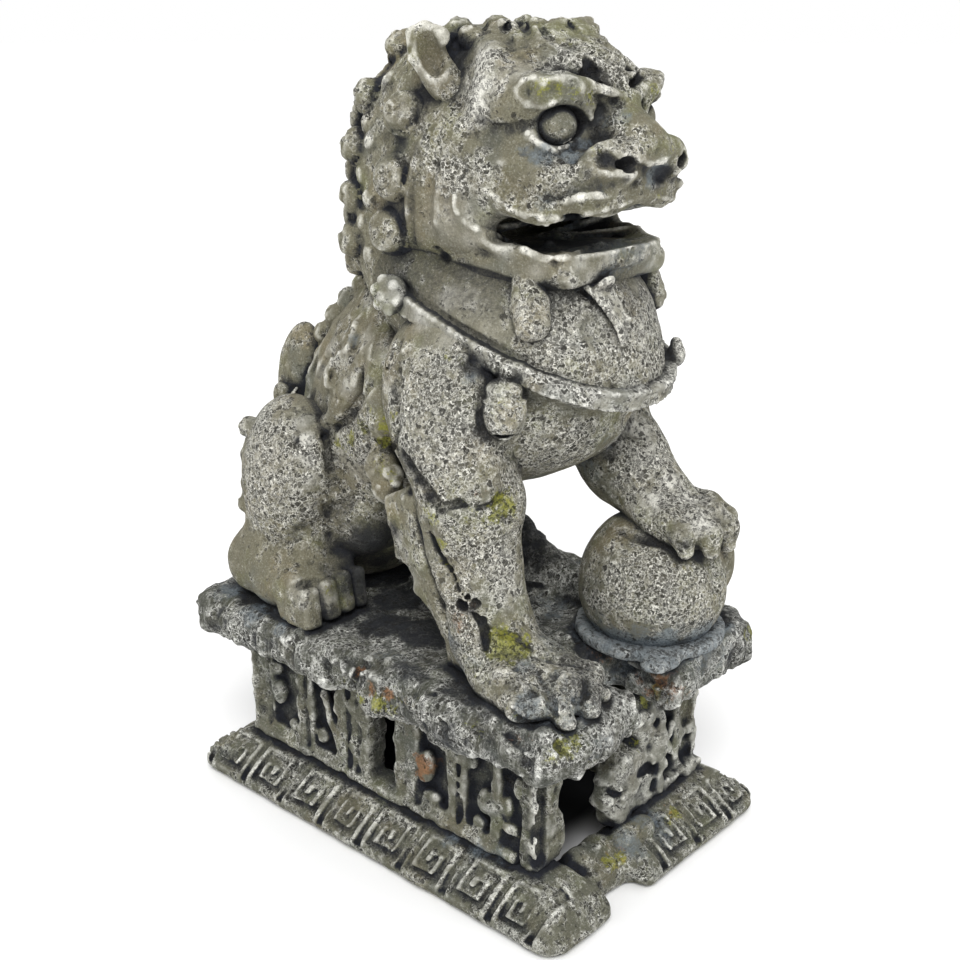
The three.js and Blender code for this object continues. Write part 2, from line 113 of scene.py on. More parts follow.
def cap(a, b, ra, rb=None, k=0.0, mode="+"):
    a, b = np.array(a, float), np.array(b, float)
    rb = ra if rb is None else rb
    ba = b - a
    l2 = max(float(ba @ ba), 1e-9)

    def f(P):
        x, y, z = loc(P, a)
        t = np.clip((x * F(ba[0]) + y * F(ba[1]) + z * F(ba[2])) * F(1 / l2), 0, 1)
        dx, dy, dz = x - t * F(ba[0]), y - t * F(ba[1]), z - t * F(ba[2])
        return np.sqrt(dx * dx + dy * dy + dz * dz) - (F(ra) + t * F(rb - ra))
    return Op(f, np.minimum(a - ra, b - rb), np.maximum(a + ra, b + rb), k, mode)


def chain(pts, rad, k=0.0, mode="+", kk=0.0, sq=None):
    """A run of round segments as one op; sq is not used."""
    pts = np.array(pts, float)
    rad = np.ones(len(pts)) * np.array(rad, float)
    segs = [cap(pts[i], pts[i + 1], rad[i], rad[i + 1]) for i in range(len(pts) - 1)]
    lo = np.min([s.lo for s in segs], 0)
    hi = np.max([s.hi for s in segs], 0)

    def f(P):
        d = segs[0].f(P)
        for s in segs[1:]:
            d = smin(d, s.f(P), kk)
        return d
    return Op(f, lo, hi, k, mode)


def box(c, half, R=None, r=0.0, k=0.0, mode="+"):
    c, half = np.array(c, float), np.array(half, float)
    M = np.eye(3) if R is None else np.asarray(R)
    e = np.abs(M) @ half

    def f(P):
        x, y, z = loc(P, c, R)
        x, y, z = (np.abs(x) - F(half[0] - r), np.abs(y) - F(half[1] - r), np.abs(z) - F(half[2] - r))
        mx = np.maximum(np.maximum(x, y), z)
        x, y, z = np.maximum(x, 0), np.maximum(y, 0), np.maximum(z, 0)
        return np.sqrt(x * x + y * y + z * z) + np.minimum(mx, 0) - F(r)
    return Op(f, c - e, c + e, k, mode)


def custom(f, lo, hi, k=0.0, mode="+"):
    return Op(f, lo, hi, k, mode)


def curl(c, n, R0, up=(0, 0, 1), turns=1.6, hand=1, depth=0.55, flat=0.8, k=0.6):
    """A snail curl: a dome with a spiral groove, axis n."""
    c, n = np.array(c, float), np.array(n, float)
    n = n / np.linalg.norm(n)
    u = np.cross(np.array(up, float), n)
    if np.linalg.norm(u) < 1e-3:
        u = np.array([1.0, 0, 0])
    u /= np.linalg.norm(u)
    v = np.cross(n, u)
    M = np.stack([u, v, n], 1)
    pitch = R0 / turns
    lo, hi = c - R0 * 1.1, c + R0 * 1.1

    def f(P):
        x, y, z = loc(P, c, M)
        rr = np.sqrt(x * x + y * y)
        k0 = np.sqrt(rr * rr + (z * F(1 / flat)) ** 2)
        base = (k0 - F(R0)) * F(0.92)
        th = np.arctan2(y, x) * F(hand / (2 * np.pi))
        ph = rr * F(1 / pitch) - th
        w = F(0.5) + F(0.5) * np.cos(F(2 * np.pi) * (ph - F(0.5)))
        g = w ** 3
        rise = F(0.10 * R0) * np.maximum(0, 1 - rr * F(1 / R0))
        return base + g * F(depth) * (rr < R0 * 0.97) - rise * F(0.6)
    return Op(f, lo, hi, k, "+")


def run(grid, ops, margin=3.0, base=None):
    """Field of a list of ops, and the slice of the grid that it fills."""
    adds = [o for o in ops if o.mode == "+"]
    lo = np.min([o.lo for o in adds], 0) - margin
    hi = np.max([o.hi for o in adds], 0) + margin
    sl = grid.sl(lo, hi)
    off = [s.start for s in sl]
    shape = tuple(s.stop - s.start for s in sl)
    d = np.full(shape, F(BIG))
    for o in ops:
        s2 = grid.sl(o.lo - margin - o.k, o.hi + margin + o.k)
        s2 = tuple(slice(max(a.start, b.start), min(a.stop, b.stop)) for a, b in zip(s2, sl))
        if any(x.stop <= x.start for x in s2):
            continue
        loc_sl = tuple(slice(a.start - o0, a.stop - o0) for a, o0 in zip(s2, off))
        v = o.f(grid.pts(s2)).astype(F)
        v = np.broadcast_to(v, d[loc_sl].shape)
        if o.mode == "+":
            d[loc_sl] = smin(d[loc_sl], v, o.k)
        elif o.mode == "-":
            d[loc_sl] = smax(d[loc_sl], -v, o.k)
        elif o.mode == "&":
            d[loc_sl] = smax(d[loc_sl], v, o.k)
        elif o.mode == "d":      # displacement, added near the surface
            d[loc_sl] = d[loc_sl] + v
    return sl, d


# ------------------------------------------------------------------ meshing
def nets(d, grid, sl):
    """Surface nets of a field: vertices in millimetres and quads facing out. The field's rim counts as outside."""
    d = np.pad(d, 1, constant_values=F(BIG))
    nx, ny, nz = d.shape
    neg = d < 0
    c = [neg[i:nx - 1 + i, j:ny - 1 + j, k:nz - 1 + k] for i in (0, 1) for j in (0, 1) for k in (0, 1)]
    cnt = np.zeros(c[0].shape, np.int8)
    for a in c:
        cnt += a
    act = (cnt > 0) & (cnt < 8)
    idx = np.flatnonzero(act)
    if not len(idx):
        return np.zeros((0, 3), F), np.zeros((0, 4), np.int32)
    ci, cj, ck = np.unravel_index(idx, act.shape)
    corner = {}
    for i in (0, 1):
        for j in (0, 1):
            for k in (0, 1):
                corner[i, j, k] = d[ci + i, cj + j, ck + k].astype(np.float64)
    acc = np.zeros((len(idx), 3))
    w = np.zeros(len(idx))
    E = [((0, 0, 0), (1, 0, 0)), ((0, 1, 0), (1, 1, 0)), ((0, 0, 1), (1, 0, 1)), ((0, 1, 1), (1, 1, 1)),
         ((0, 0, 0), (0, 1, 0)), ((1, 0, 0), (1, 1, 0)), ((0, 0, 1), (0, 1, 1)), ((1, 0, 1), (1, 1, 1)),
         ((0, 0, 0), (0, 0, 1)), ((1, 0, 0), (1, 0, 1)), ((0, 1, 0), (0, 1, 1)), ((1, 1, 0), (1, 1, 1))]
    for a, b in E:
        da, db = corner[a], corner[b]
        m = (da < 0) != (db < 0)
        t = np.where(m, da / np.where(m, da - db, 1), 0)
        for ax in range(3):
            acc[:, ax] += np.where(m, a[ax] + (b[ax] - a[ax]) * t, 0)
        w += m
    v = acc / w[:, None] + np.stack([ci, cj, ck], 1)
    vid = np.full(act.shape, -1, np.int32)
    vid.ravel()[idx] = np.arange(len(idx), dtype=np.int32)
    quads = []
    for ax in range(3):
        sa = [slice(1, -1)] * 3
        sb = [slice(1, -1)] * 3
        sa[ax] = slice(0, -1)
        sb[ax] = slice(1, None)
        A, B = neg[tuple(sa)], neg[tuple(sb)]
        e = np.flatnonzero(A != B)
        if not len(e):
            continue
        p = list(np.unravel_index(e, A.shape))
        flip = A.ravel()[e]
        o = [0, 0, 0]
        for q in range(3):
            p[q] = p[q] + (0 if q == ax else 1)
        u, w2 = (ax + 1) % 3, (ax + 2) % 3
        def cell(du, dw):
            q = [x.copy() for x in p]
            q[u] = q[u] - 1 + du
            q[w2] = q[w2] - 1 + dw
            return vid[q[0], q[1], q[2]]
        a, b, c2, d2 = cell(0, 0), cell(1, 0), cell(1, 1), cell(0, 1)
        quad = np.stack([a, b, c2, d2], 1)
        quad[~flip] = quad[~flip][:, ::-1]
        quads.append(quad)
    quads = np.concatenate(quads)
    off = np.array([s.start for s in sl]) - 1
    v = (v + off) * grid.h + grid.lo
    return v, quads


def trilin(d, grid, sl, P):
    """Field values at points, clamped to the box."""
    q = (P - grid.lo) / grid.h - np.array([s.start for s in sl])
    n = np.array(d.shape)
    q = np.clip(q, 0, n - 1.001)
    i = q.astype(int)
    t = (q - i).astype(F)
    out = np.zeros(len(P), F)
    for a in (0, 1):
        for b in (0, 1):
            for c in (0, 1):
                wt = (t[:, 0] if a else 1 - t[:, 0]) * (t[:, 1] if b else 1 - t[:, 1]) * (t[:, 2] if c else 1 - t[:, 2])
                out += wt * d[i[:, 0] + a, i[:, 1] + b, i[:, 2] + c]
    return out


# ------------------------------------------------------------------ noise
def _hash(ix, iy, iz, seed):
    with np.errstate(over="ignore"):
        n = (ix.astype(np.uint32) * np.uint32(374761393) + iy.astype(np.uint32) * np.uint32(668265263)
             + iz.astype(np.uint32) * np.uint32(2147483647) + np.uint32(seed * 1274126177 & 0xFFFFFFFF))
        n = (n ^ (n >> np.uint32(13))) * np.uint32(1274126177)
        n = n ^ (n >> np.uint32(16))
    return n


def noise(P, scale, seed=0):
    """Value noise with smooth steps, -1 to 1; scale is the cell in millimetres."""
    q = np.asarray(P, float) / scale + 1000.0
    i = np.floor(q).astype(np.int64)
    f = (q - i)
    f = f * f * f * (f * (f * 6 - 15) + 10)
    out = np.zeros(len(q))
    for a in (0, 1):
        for b in (0, 1):
            for c in (0, 1):
                hsh = _hash(i[:, 0] + a, i[:, 1] + b, i[:, 2] + c, seed) / 4294967295.0 * 2 - 1
                wt = (f[:, 0] if a else 1 - f[:, 0]) * (f[:, 1] if b else 1 - f[:, 1]) * (f[:, 2] if c else 1 - f[:, 2])
                out += wt * hsh
    return out


def fbm(P, scale, seed=0, octaves=3, gain=0.5):
    s, a, t = 0.0, 1.0, 0.0
    for o in range(octaves):
        s = s + a * noise(P, scale / 2 ** o, seed + 17 * o)
        t += a
        a *= gain
    return s / t


def cells(P, scale, seed=0):
    """Distance to the nearest and second nearest scattered point, in cells."""
    q = np.asarray(P, float) / scale + 1000.0
    i = np.floor(q).astype(np.int64)
    f = q - i
    d1 = np.full(len(q), 9.0)
    d2 = np.full(len(q), 9.0)
    for a in (-1, 0, 1):
        for b in (-1, 0, 1):
            for c in (-1, 0, 1):
                j = i + np.array([a, b, c])
                r = [_hash(j[:, 0], j[:, 1], j[:, 2], seed + s) / 4294967295.0 for s in (1, 2, 3)]
                d = np.sqrt(sum((o + rr - f[:, ax]) ** 2 for ax, (o, rr) in enumerate(zip((a, b, c), r))))
                nd1 = np.minimum(d1, d)
                d2 = np.minimum(d2, np.maximum(d1, d))
                d1 = nd1
    return d1, d2

# ------------------------------------------------------------------ helpers
def both(*ops):
    out = []
    for o in ops:
        out += [o, o.mirrored()]
    return out


def mir(ops):
    return [o.mirrored() for o in ops]


def at(ops, p):
    """Value of a list of joined ops at one point."""
    P = tuple(np.full((1, 1, 1), c, F) for c in p)
    d = F(BIG)
    for o in ops:
        if o.mode == "+":
            d = smin(np.full((1, 1, 1), d, F), o.f(P), o.k).ravel()[0]
    return float(d)


def land(ops, o, u, far=40.0):
    """Where a line from inside leaves the ops, and the normal there."""
    o, u = np.array(o, float), np.array(u, float)
    u = u / np.linalg.norm(u)
    a, b = 0.0, far
    for _ in range(26):
        m = 0.5 * (a + b)
        if at(ops, o + u * m) < 0:
            a = m
        else:
            b = m
    p = o + u * a
    e = 0.4
    n = np.array([at(ops, p + e * v) - at(ops, p - e * v) for v in np.eye(3)])
    return p, n / max(np.linalg.norm(n), 1e-6)


def rrect(P, hx, hy, r, cy=0.0):
    x = np.abs(P[0]) - F(hx - r)
    y = np.abs(P[1] - F(cy)) - F(hy - r)
    return np.sqrt(np.maximum(x, 0) ** 2 + np.maximum(y, 0) ** 2) + np.minimum(np.maximum(x, y), 0) - F(r)


def seg2(u, v, a, b):
    """Distance in a plane to a segment."""
    au, av = F(b[0] - a[0]), F(b[1] - a[1])
    t = np.clip(((u - F(a[0])) * au + (v - F(a[1])) * av) / (au * au + av * av + F(1e-9)), 0, 1)
    return np.sqrt((u - F(a[0]) - t * au) ** 2 + (v - F(a[1]) - t * av) ** 2)


# ------------------------------------------------------------------ plinth
ZB, ZS, ZT = 9.0, 33.0, 42.0            # base top, slab underside, slab top
LB, WB = 100.0, 68.0
KEY = [(0.93, 0.93), (0.93, 0.10), (0.16, 0.10), (0.16, 0.84), (0.70, 0.84), (0.70, 0.36), (0.42, 0.36), (0.42, 0.60)]
DIV_SIDE = [45.5, 34.0, 22.2, 9.8, -1.0, -12.3, -23.6, -35.0, -44.5]
DIV_FRONT = [-0.5, 10.8, 22.0, 31.5]
DIV_REAR = [-31.5, -21.0, -10.5, 0.0, 10.5, 21.0, 31.5]


def band(P):
    """Side of the base course: signed distance of its moulded face."""
    d2 = rrect(P, WB / 2, LB / 2, 5.0)
    z = P[2]
    t = np.clip((z - F(2.6)) * F(1 / 6.4), 0, 1)
    ins = F(8.0) * (F(0.5) * t + F(0.5) * t * t)
    side = (d2 + ins) * F(0.8)
    low = np.clip((F(1.6) - z) * F(1 / 1.6), 0, 1)
    return side + low * low * F(0.9)


def fret(edges, axis, sign, flip):
    """Key fret grooves cut into the sloped band along one side; edges are the dividing lines."""
    def f(P):
        s = band(P)
        u = (P[0] if axis == 0 else P[1]) + F(0) * P[2]
        v = (P[2] - F(2.4)) * F(1.5)
        H = 8.6
        slant = (v - F(H / 2)) * F(0.10)
        best = np.abs(v - F(9.3)) + F(0) * u
        for e in edges:
            best = np.minimum(best, np.where(v > F(-1.0), np.abs(u - F(e) - slant * F(sign)), F(9)))
        for i in range(len(edges) - 1):
            a, b = sorted((edges[i], edges[i + 1]))
            g0, W = a + 1.1, (b - a) - 2.2
            pts = KEY
            fl = flip ^ (i % 3 == 1)
            q = [((g0 + W * ((1 - x) if fl else x)), 0.5 + 7.6 * y) for x, y in pts]
            for p0, p1 in zip(q[:-1], q[1:]):
                best = np.minimum(best, seg2(u - slant * F(sign), v, p0, p1))
        w = np.sqrt((best * F(1.0)) ** 2 + (s * F(0.72)) ** 2) - F(0.80)
        return w
    if axis == 1:
        x0, x1 = (-35.5, -24.0) if sign < 0 else (24.0, 35.5)
        return custom(f, (x0, min(edges) - 1, 1), (x1, max(edges) + 1, 9.4), k=0.25, mode="-")
    y0, y1 = (-51.5, -40.0) if sign < 0 else (40.0, 51.5)
    return custom(f, (min(edges) - 1, y0, 1), (max(edges) + 1, y1, 9.4), k=0.25, mode="-")


def clip_side(o, lo, hi):
    """Holds an op's reach to a box exactly."""
    f = o.f
    lo, hi = np.array(lo, float), np.array(hi, float)

    def g(P):
        m = F(-9)
        for i in range(3):
            m = np.maximum(m, np.maximum(F(lo[i]) - P[i], P[i] - F(hi[i])))
        return np.maximum(f(P), m)
    return Op(g, lo, hi, o.k, o.mode)


def base_course():
    def body(P):
        d = smax(band(P), P[2] - F(ZB), 1.2)
        d = np.maximum(d, -P[2])
        return smax(d, -rrect(P, 20.4, 34.6, 4.0), 0.8)
    ops = [custom(body, (-34, -50, 0), (34, 50, 9))]
    ops.append(clip_side(fret(DIV_SIDE, 1, -1, False), (-35, -46.5, 1.0), (-24, 46.5, 9.2)))
    ops.append(clip_side(fret(DIV_SIDE, 1, 1, True), (24, -46.5, 1.0), (35, 46.5, 9.2)))
    ops.append(clip_side(fret(DIV_FRONT, 0, -1, False), (-1.5, -51, 1.0), (32.5, -40, 9.2)))
    ops.append(clip_side(fret(DIV_REAR, 0, 1, True), (-32.5, 40, 1.0), (32.5, 51, 9.2)))
    # the near front block is worn down to rough vertical streaks
    for i, x in enumerate([-26.0, -21.6]):
        ops.append(chain([(x, -45.4 + 0.3 * (i % 2), 8.4), (x + 0.3, -48.3, 5.2 - (i % 3)), (x + 0.2, -50.1, 2.2 + (i % 2))],
                         [0.2, 0.35, 0.2], k=1.2, mode="-"))
    # broken way in
    ops += [
        box((-10.6, -49.6, 5), (5.2, 6.6, 12), rot(0, 0, 10), r=2.4, k=2.4, mode="-"),
        box((-7.2, -40.5, 10.2), (11.2, 7.4, 4.2), rot(-8, 0, 0), r=2.0, k=2.2, mode="-"),
        ell((-3.0, -42.0, 6.6), (3.6, 3.0, 3.0), k=1.4), ell((0.8, -42.8, 7.2), (3.6, 2.6, 2.8), k=1.2),
        ell((-8.2, -39.5, 5.8), (3.4, 3.0, 2.8), k=1.4), ell((-14.8, -40.0, 7.0), (2.8, 2.6, 2.6), k=1.2),
        ell((-4.5, -45.2, 4.4), (2.8, 2.2, 2.6), k=1.2),
        box((-4.6, -40.8, 3.2), (11.6, 4.4, 3.2), rot(4, 3, 0), r=1.2, k=1.6),
        box((2.0, -41.6, 6.4), (3.6, 2.2, 2.0), rot(0, 14, 12), r=0.8, k=0.8), box((-12.6, -40.6, 6.4), (3.0, 2.0, 1.8), rot(0, -12, 20), r=0.7, k=0.8),
    ]
    return ops


def wall_side():
    """Side wall: posts are what is left between the sunk panels."""
    zc, hz = (ZB + ZS) / 2, (ZS - ZB) / 2
    ops = [box((-22.9, 3, zc), (2.6, 37.3, hz), r=0.7)]
    # sunk panels: y range, z range, depth
    for y0, y1, z0, z1, dp in ((33.4, 25.6, 12.8, 28.6, 2.5), (20.6, 14.0, 12.2, 28.4, 2.5), (-9.4, -16.8, 12.4, 28.4, 2.7), (-21.6, -27.7, 12.0, 27.6, 2.5), (-30.2, -35.7, 16.6, 28.2, 2.3), (-29.8, -34.4, 11.2, 14.9, 1.9), (39.0, 35.6, 13.0, 29.0, 1.0)):
        ops.append(box((-27.6, (y0 + y1) / 2, (z0 + z1) / 2), (2.1 + dp, (y0 - y1) / 2, (z1 - z0) / 2), rot(2.2 * np.sin(y0 * 1.7), 0, 0), r=1.1, k=0.8, mode="-"))
    # splits between the posts
    for y, r, dp, z0, z1 in ((23.0, 0.6, 0.8, 10, 30), (10.3, 0.6, 1.0, 10, 30), (7.3, 0.55, 0.7, 11, 27), (-5.6, 0.6, 0.5, 12, 28), (-19.5, 0.6, 1.1, 10, 30), (35.0, 0.6, 0.8, 10, 30), (-8.9, 0.6, 0.8, 11, 21)):
        ops.append(chain([(-25.5 - r + dp, y + 0.4 * np.sin(y), z0), (-25.5 - r + dp, y - 0.3, (z0 + z1) / 2), (-25.5 - r + dp, y + 0.3 * np.cos(y), z1)], r, k=0.5, mode="-"))
    # what stands in the panels
    ops += [ell((-24.2, 32.0, 20.0), (1.8, 1.9, 2.9), k=0.6), ell((-24.0, 32.6, 25.6), (1.5, 1.3, 1.7), k=0.5), ell((-24.0, 27.2, 14.0), (1.5, 2.0, 1.4), k=0.5),
            chain([(-24.6, 17.4, 25.0), (-24.2, 15.6, 19.6), (-24.6, 13.6, 14.2)], [0.9, 1.1, 0.8], k=0.5), ell((-24.2, 18.6, 15.0), (1.4, 1.8, 1.6), k=0.5),
            ell((-24.2, -10.8, 19.4), (1.7, 2.2, 3.6), rot(12, 0, 0), k=0.6), ell((-24.0, -15.4, 26.4), (1.5, 1.6, 1.6), k=0.5), ell((-24.0, -12.0, 13.4), (1.5, 2.6, 1.4), k=0.5),
            ell((-24.2, -26.6, 18.4), (1.7, 2.4, 2.7), k=0.6), ell((-24.0, -22.6, 25.6), (1.4, 1.3, 1.8), k=0.5), ell((-24.0, -24.4, 13.4), (1.4, 2.0, 1.4), k=0.5),
            ell((-24.2, -34.6, 24.8), (1.6, 1.7, 2.4), k=0.5), ell((-24.0, -31.2, 19.4), (1.4, 1.3, 2.2), k=0.5),
            box((-24.6, 3, 32.0), (1.4, 37, 1.1), r=0.6, k=0.8), box((-24.6, 3, 9.9), (1.6, 37, 1.0), r=0.6, k=0.8)]
    # window
    ops.append(box((-23, 0.85, 19.4), (6, 3.4, 8.0), rot(1.5, 0, 0), r=1.0, k=0.8, mode="-"))
    return ops


def plinth():
    D = {}
    zc, hz = (ZB + ZS) / 2, (ZS - ZB) / 2
    D["base_course"] = base_course()
    D["wall_right"] = wall_side()
    D["wall_left"] = mir(wall_side())
    rear = [box((0, 36.8, zc), (20.3, 2.0, hz), r=0.5), box((0, 38.4, 31.8), (20.3, 1.5, 1.2), r=0.6, k=0.8), box((0, 38.6, 9.9), (20.3, 1.7, 1.1), r=0.6, k=0.8)]
    for i, x in enumerate(np.linspace(-19, 19, 11)):
        rear.append(box((x + 0.5 * np.sin(i * 5), 39.0, zc), (0.8, 1.1, hz - 0.6), r=0.5, k=0.7))
        if i < 10:
            for j, z in enumerate((14.5, 21.0, 27.0)):
                if (i * 7 + j * 3) % 4 != 1:
                    rear.append(ell((x + 1.9 + 0.8 * np.sin(i * 3 + j), 39.0, z + np.cos(i + j)), (1.4, 1.1, 1.1), k=0.6))
    D["wall_rear"] = rear
    pr = [box((-21.8, -36.9, zc), (3.8, 2.0, hz), r=0.6), box((-23.9, -40.0, 19.0), (1.3, 2.8, 9.2), r=0.7, k=0.6, mode="-"),
          ell((-20.4, -39.0, 24.4), (0.8, 1.2, 1.2), k=0.3, mode="-"), ell((-18.2, -38.4, 28.8), (1.6, 1.5, 2.2), k=0.8), ell((-18.4, -38.2, 14.0), (1.0, 1.4, 3.2), k=0.8),
          ell((-18.0, -38.6, 21.0), (1.0, 1.6, 2.4), k=0.8, mode="-")]
    D["pier_front_right"] = pr
    pl = [box((15.7, -36.7, zc), (10.1, 2.1, hz), r=0.6)]
    for x0, x1, z0, z1, dp in ((11.2, 17.7, 11.0, 25.6, 2.0), (20.5, 24.2, 9.8, 17.2, 1.7), (20.6, 24.2, 18.8, 26.4, 1.7)):
        pl.append(box(((x0 + x1) / 2, -40.9, (z0 + z1) / 2), ((x1 - x0) / 2, 2.1 + dp, (z1 - z0) / 2), r=0.9, k=0.7, mode="-"))
    pl += [chain([(12.0, -38.0, 23.6), (14.6, -37.6, 19.0), (17.4, -38.0, 15.4)], [0.8, 0.9, 0.8], k=0.5), chain([(17.0, -38.0, 22.0), (14.6, -37.6, 18.4), (13.4, -38.0, 12.4)], [0.7, 0.9, 0.7], k=0.5),
           chain([(11.2, -39.2, 26.0), (10.4, -39.6, 20.0), (11.0, -39.6, 15.0), (10.6, -39.4, 10.4)], [1.2, 1.5, 1.3, 1.6], k=0.8, kk=0.5),
           box((15.7, -38.8, 10.0), (10.2, 1.6, 1.1), r=0.6, k=0.8)]
    # rubble heaped against the doorway
    pl += [box((2.6, -37.2, 18.2), (5.6, 2.6, 4.4), rot(6, 14, 10), r=1.6, k=0.7), box((0.6, -38.0, 10.8), (5.0, 2.4, 2.6), rot(-8, -10, 6), r=1.3, k=0.6),
           box((6.8, -37.6, 25.4), (3.0, 2.3, 4.4), rot(4, -16, 0), r=1.2, k=0.7), box((6.6, -38.2, 13.0), (2.6, 2.0, 2.8), rot(10, 20, 15), r=1.0, k=0.5), box((-3.8, -37.6, 13.8), (1.8, 2.0, 1.7), rot(15, 25, 0), r=0.8, k=0.5),
           box((8.8, -38.8, 18.2), (1.5, 1.4, 2.2), rot(0, -20, 20), r=0.6, k=0.4), box((-2.6, -37.0, 18.4), (1.7, 1.8, 2.0), rot(0, 35, 0), r=0.7, k=0.5), box((1.6, -39.2, 14.4), (3.6, 1.2, 1.0), rot(0, -12, 0), r=0.5, k=0.4)]
    D["pier_front_left"] = pl

    def slab(P):
        w = (P[1] + F(48.5)) * F(1 / 98.0)
        d2 = rrect([P[0] * (F(1) - F(0.02) * w), P[1], P[2]], 34.0, 49.0, 6.0, 0.6)
        z = P[2] - F((ZS + ZT) / 2)
        q = np.abs(z) - F((ZT - ZS) / 2)
        r = 3.6
        a, b = d2 + F(r), q + F(r)
        return np.sqrt(np.maximum(a, 0) ** 2 + np.maximum(b, 0) ** 2) + np.minimum(np.maximum(a, b), 0) - F(r)
    s = [custom(slab, (-35, -48.6, ZS), (35, 50, ZT))]
    s += [ell((-33.2, -6.8, 36.6), (2.4, 5.0, 4.2), k=2), ell((-33.0, 9.5, 37.2), (1.8, 4.5, 3.6), k=2), ell((-33.2, -24, 37), (1.8, 8, 4.0), k=2.5),
          ell((-31, -44, 37.4), (4.0, 4.5, 4.2), k=2.5), ell((-22, -48.4, 37.8), (8, 2.0, 3.8), k=2.5)]
    # low rise of rock behind the forefeet, and a lip round the far corner
    s += [ell((20, 4, 41.2), (11, 9, 4.6), k=3), ell((8, -6, 41.0), (10, 8, 3.0), k=3), ell((27, -4, 41.4), (5.5, 10, 3.0), k=2.5),
          chain([(15.5, 8, 54.0), (15, 0.5, 53.8), (15.2, -5.0, 49.4), (16, -12.0, 46.4), (17, -18, 43.0)], [4.2, 3.6, 3.2, 3.0, 2.4], k=2.0), ell((17, -3, 44), (8, 13, 5.0), k=2.0), ell((6, 6, 42), (12, 12, 5.0), k=2.5)]
    s += [chain([(11.0, -47.0, 41.0), (17, -47.3, 41.1), (27, -46.0, 41.2), (31.4, -41, 41.3), (32.0, -28, 41.2), (31.6, -14, 41.0)], [1.4, 1.7, 1.8, 1.8, 1.7, 1.3], k=1.6)]
    s += [box((-2.6, -42, 37.5), (5.4, 9.6, 9), rot(0, 0, -6), r=2.5, k=2.2, mode="-"),
          ell((-2.8, -32.2, 42.2), (4.4, 3.0, 3.4), k=1.6, mode="-"),
          ell((-35.6, 1.4, 35.0), (4.0, 4.8, 3.6), k=1.4, mode="-"), ell((-35.4, 4.8, 38.2), (2.8, 2.4, 2.0), k=1.2, mode="-"),
          ell((-34.8, -0.4, 33.4), (4.6, 3.6, 2.2), k=1.0, mode="-")]
    D["top_slab"] = s
    D["ball_dish"] = [custom(lambda P: smax(np.sqrt((P[0] - F(14)) ** 2 + (P[1] + F(34)) ** 2) - F(14.4), np.abs(P[2] - F(42.8)) - F(1.2), 1.0), (-0.5, -48.5, 41.6), (28.5, -19.5, 44)),
                      ell((3.6, -44.0, 42.4), (5.0, 3.4, 1.4), k=1.0), ell((24.6, -26.0, 42.6), (5.0, 5.0, 1.4), k=1.0)]
    def globe(P):
        t = np.clip((P[2] - F(50)) * F(1 / 17.0), -1, 1)
        g = F(1) + F(0.055) * np.maximum(t, 0) * (F(1) - t) * F(4) * F(0.5)
        x, y, z = (P[0] - F(13.8)) * g, (P[1] + F(34.3)) * g, P[2] - F(52.6)
        return (np.sqrt(x * x + y * y + z * z) - F(14.3)) * F(0.97)
    D["ball"] = [custom(globe, (-0.6, -48.8, 38.2), (28.2, -19.9, 67)),
                 chain([(23.2, -44.6, 61.5), (25.6, -44.0, 54), (25.0, -43.4, 46.5)], [0.8, 1.1, 0.8], k=0.8, mode="-"),
                 ell((25.8, -41.6, 55.0), (2.4, 3.0, 6.5), k=2.2)]
    return D


# ------------------------------------------------------------------ lion
COLLAR = [(0.0, -40.9, 93.0), (3.6, -40.6, 93.1), (6.7, -39.9, 93.4), (9.4, -38.6, 93.9), (11.9, -36.8, 94.6), (14.2, -34.5, 95.5), (16.2, -31.7, 96.6),
          (17.9, -28.6, 97.8), (19.3, -25.0, 99.2), (20.4, -21.0, 100.7), (21.3, -16.6, 102.4), (21.8, -11.8, 104.3), (21.6, -6.0, 106.4), (20.4, -1.6, 107.8)]


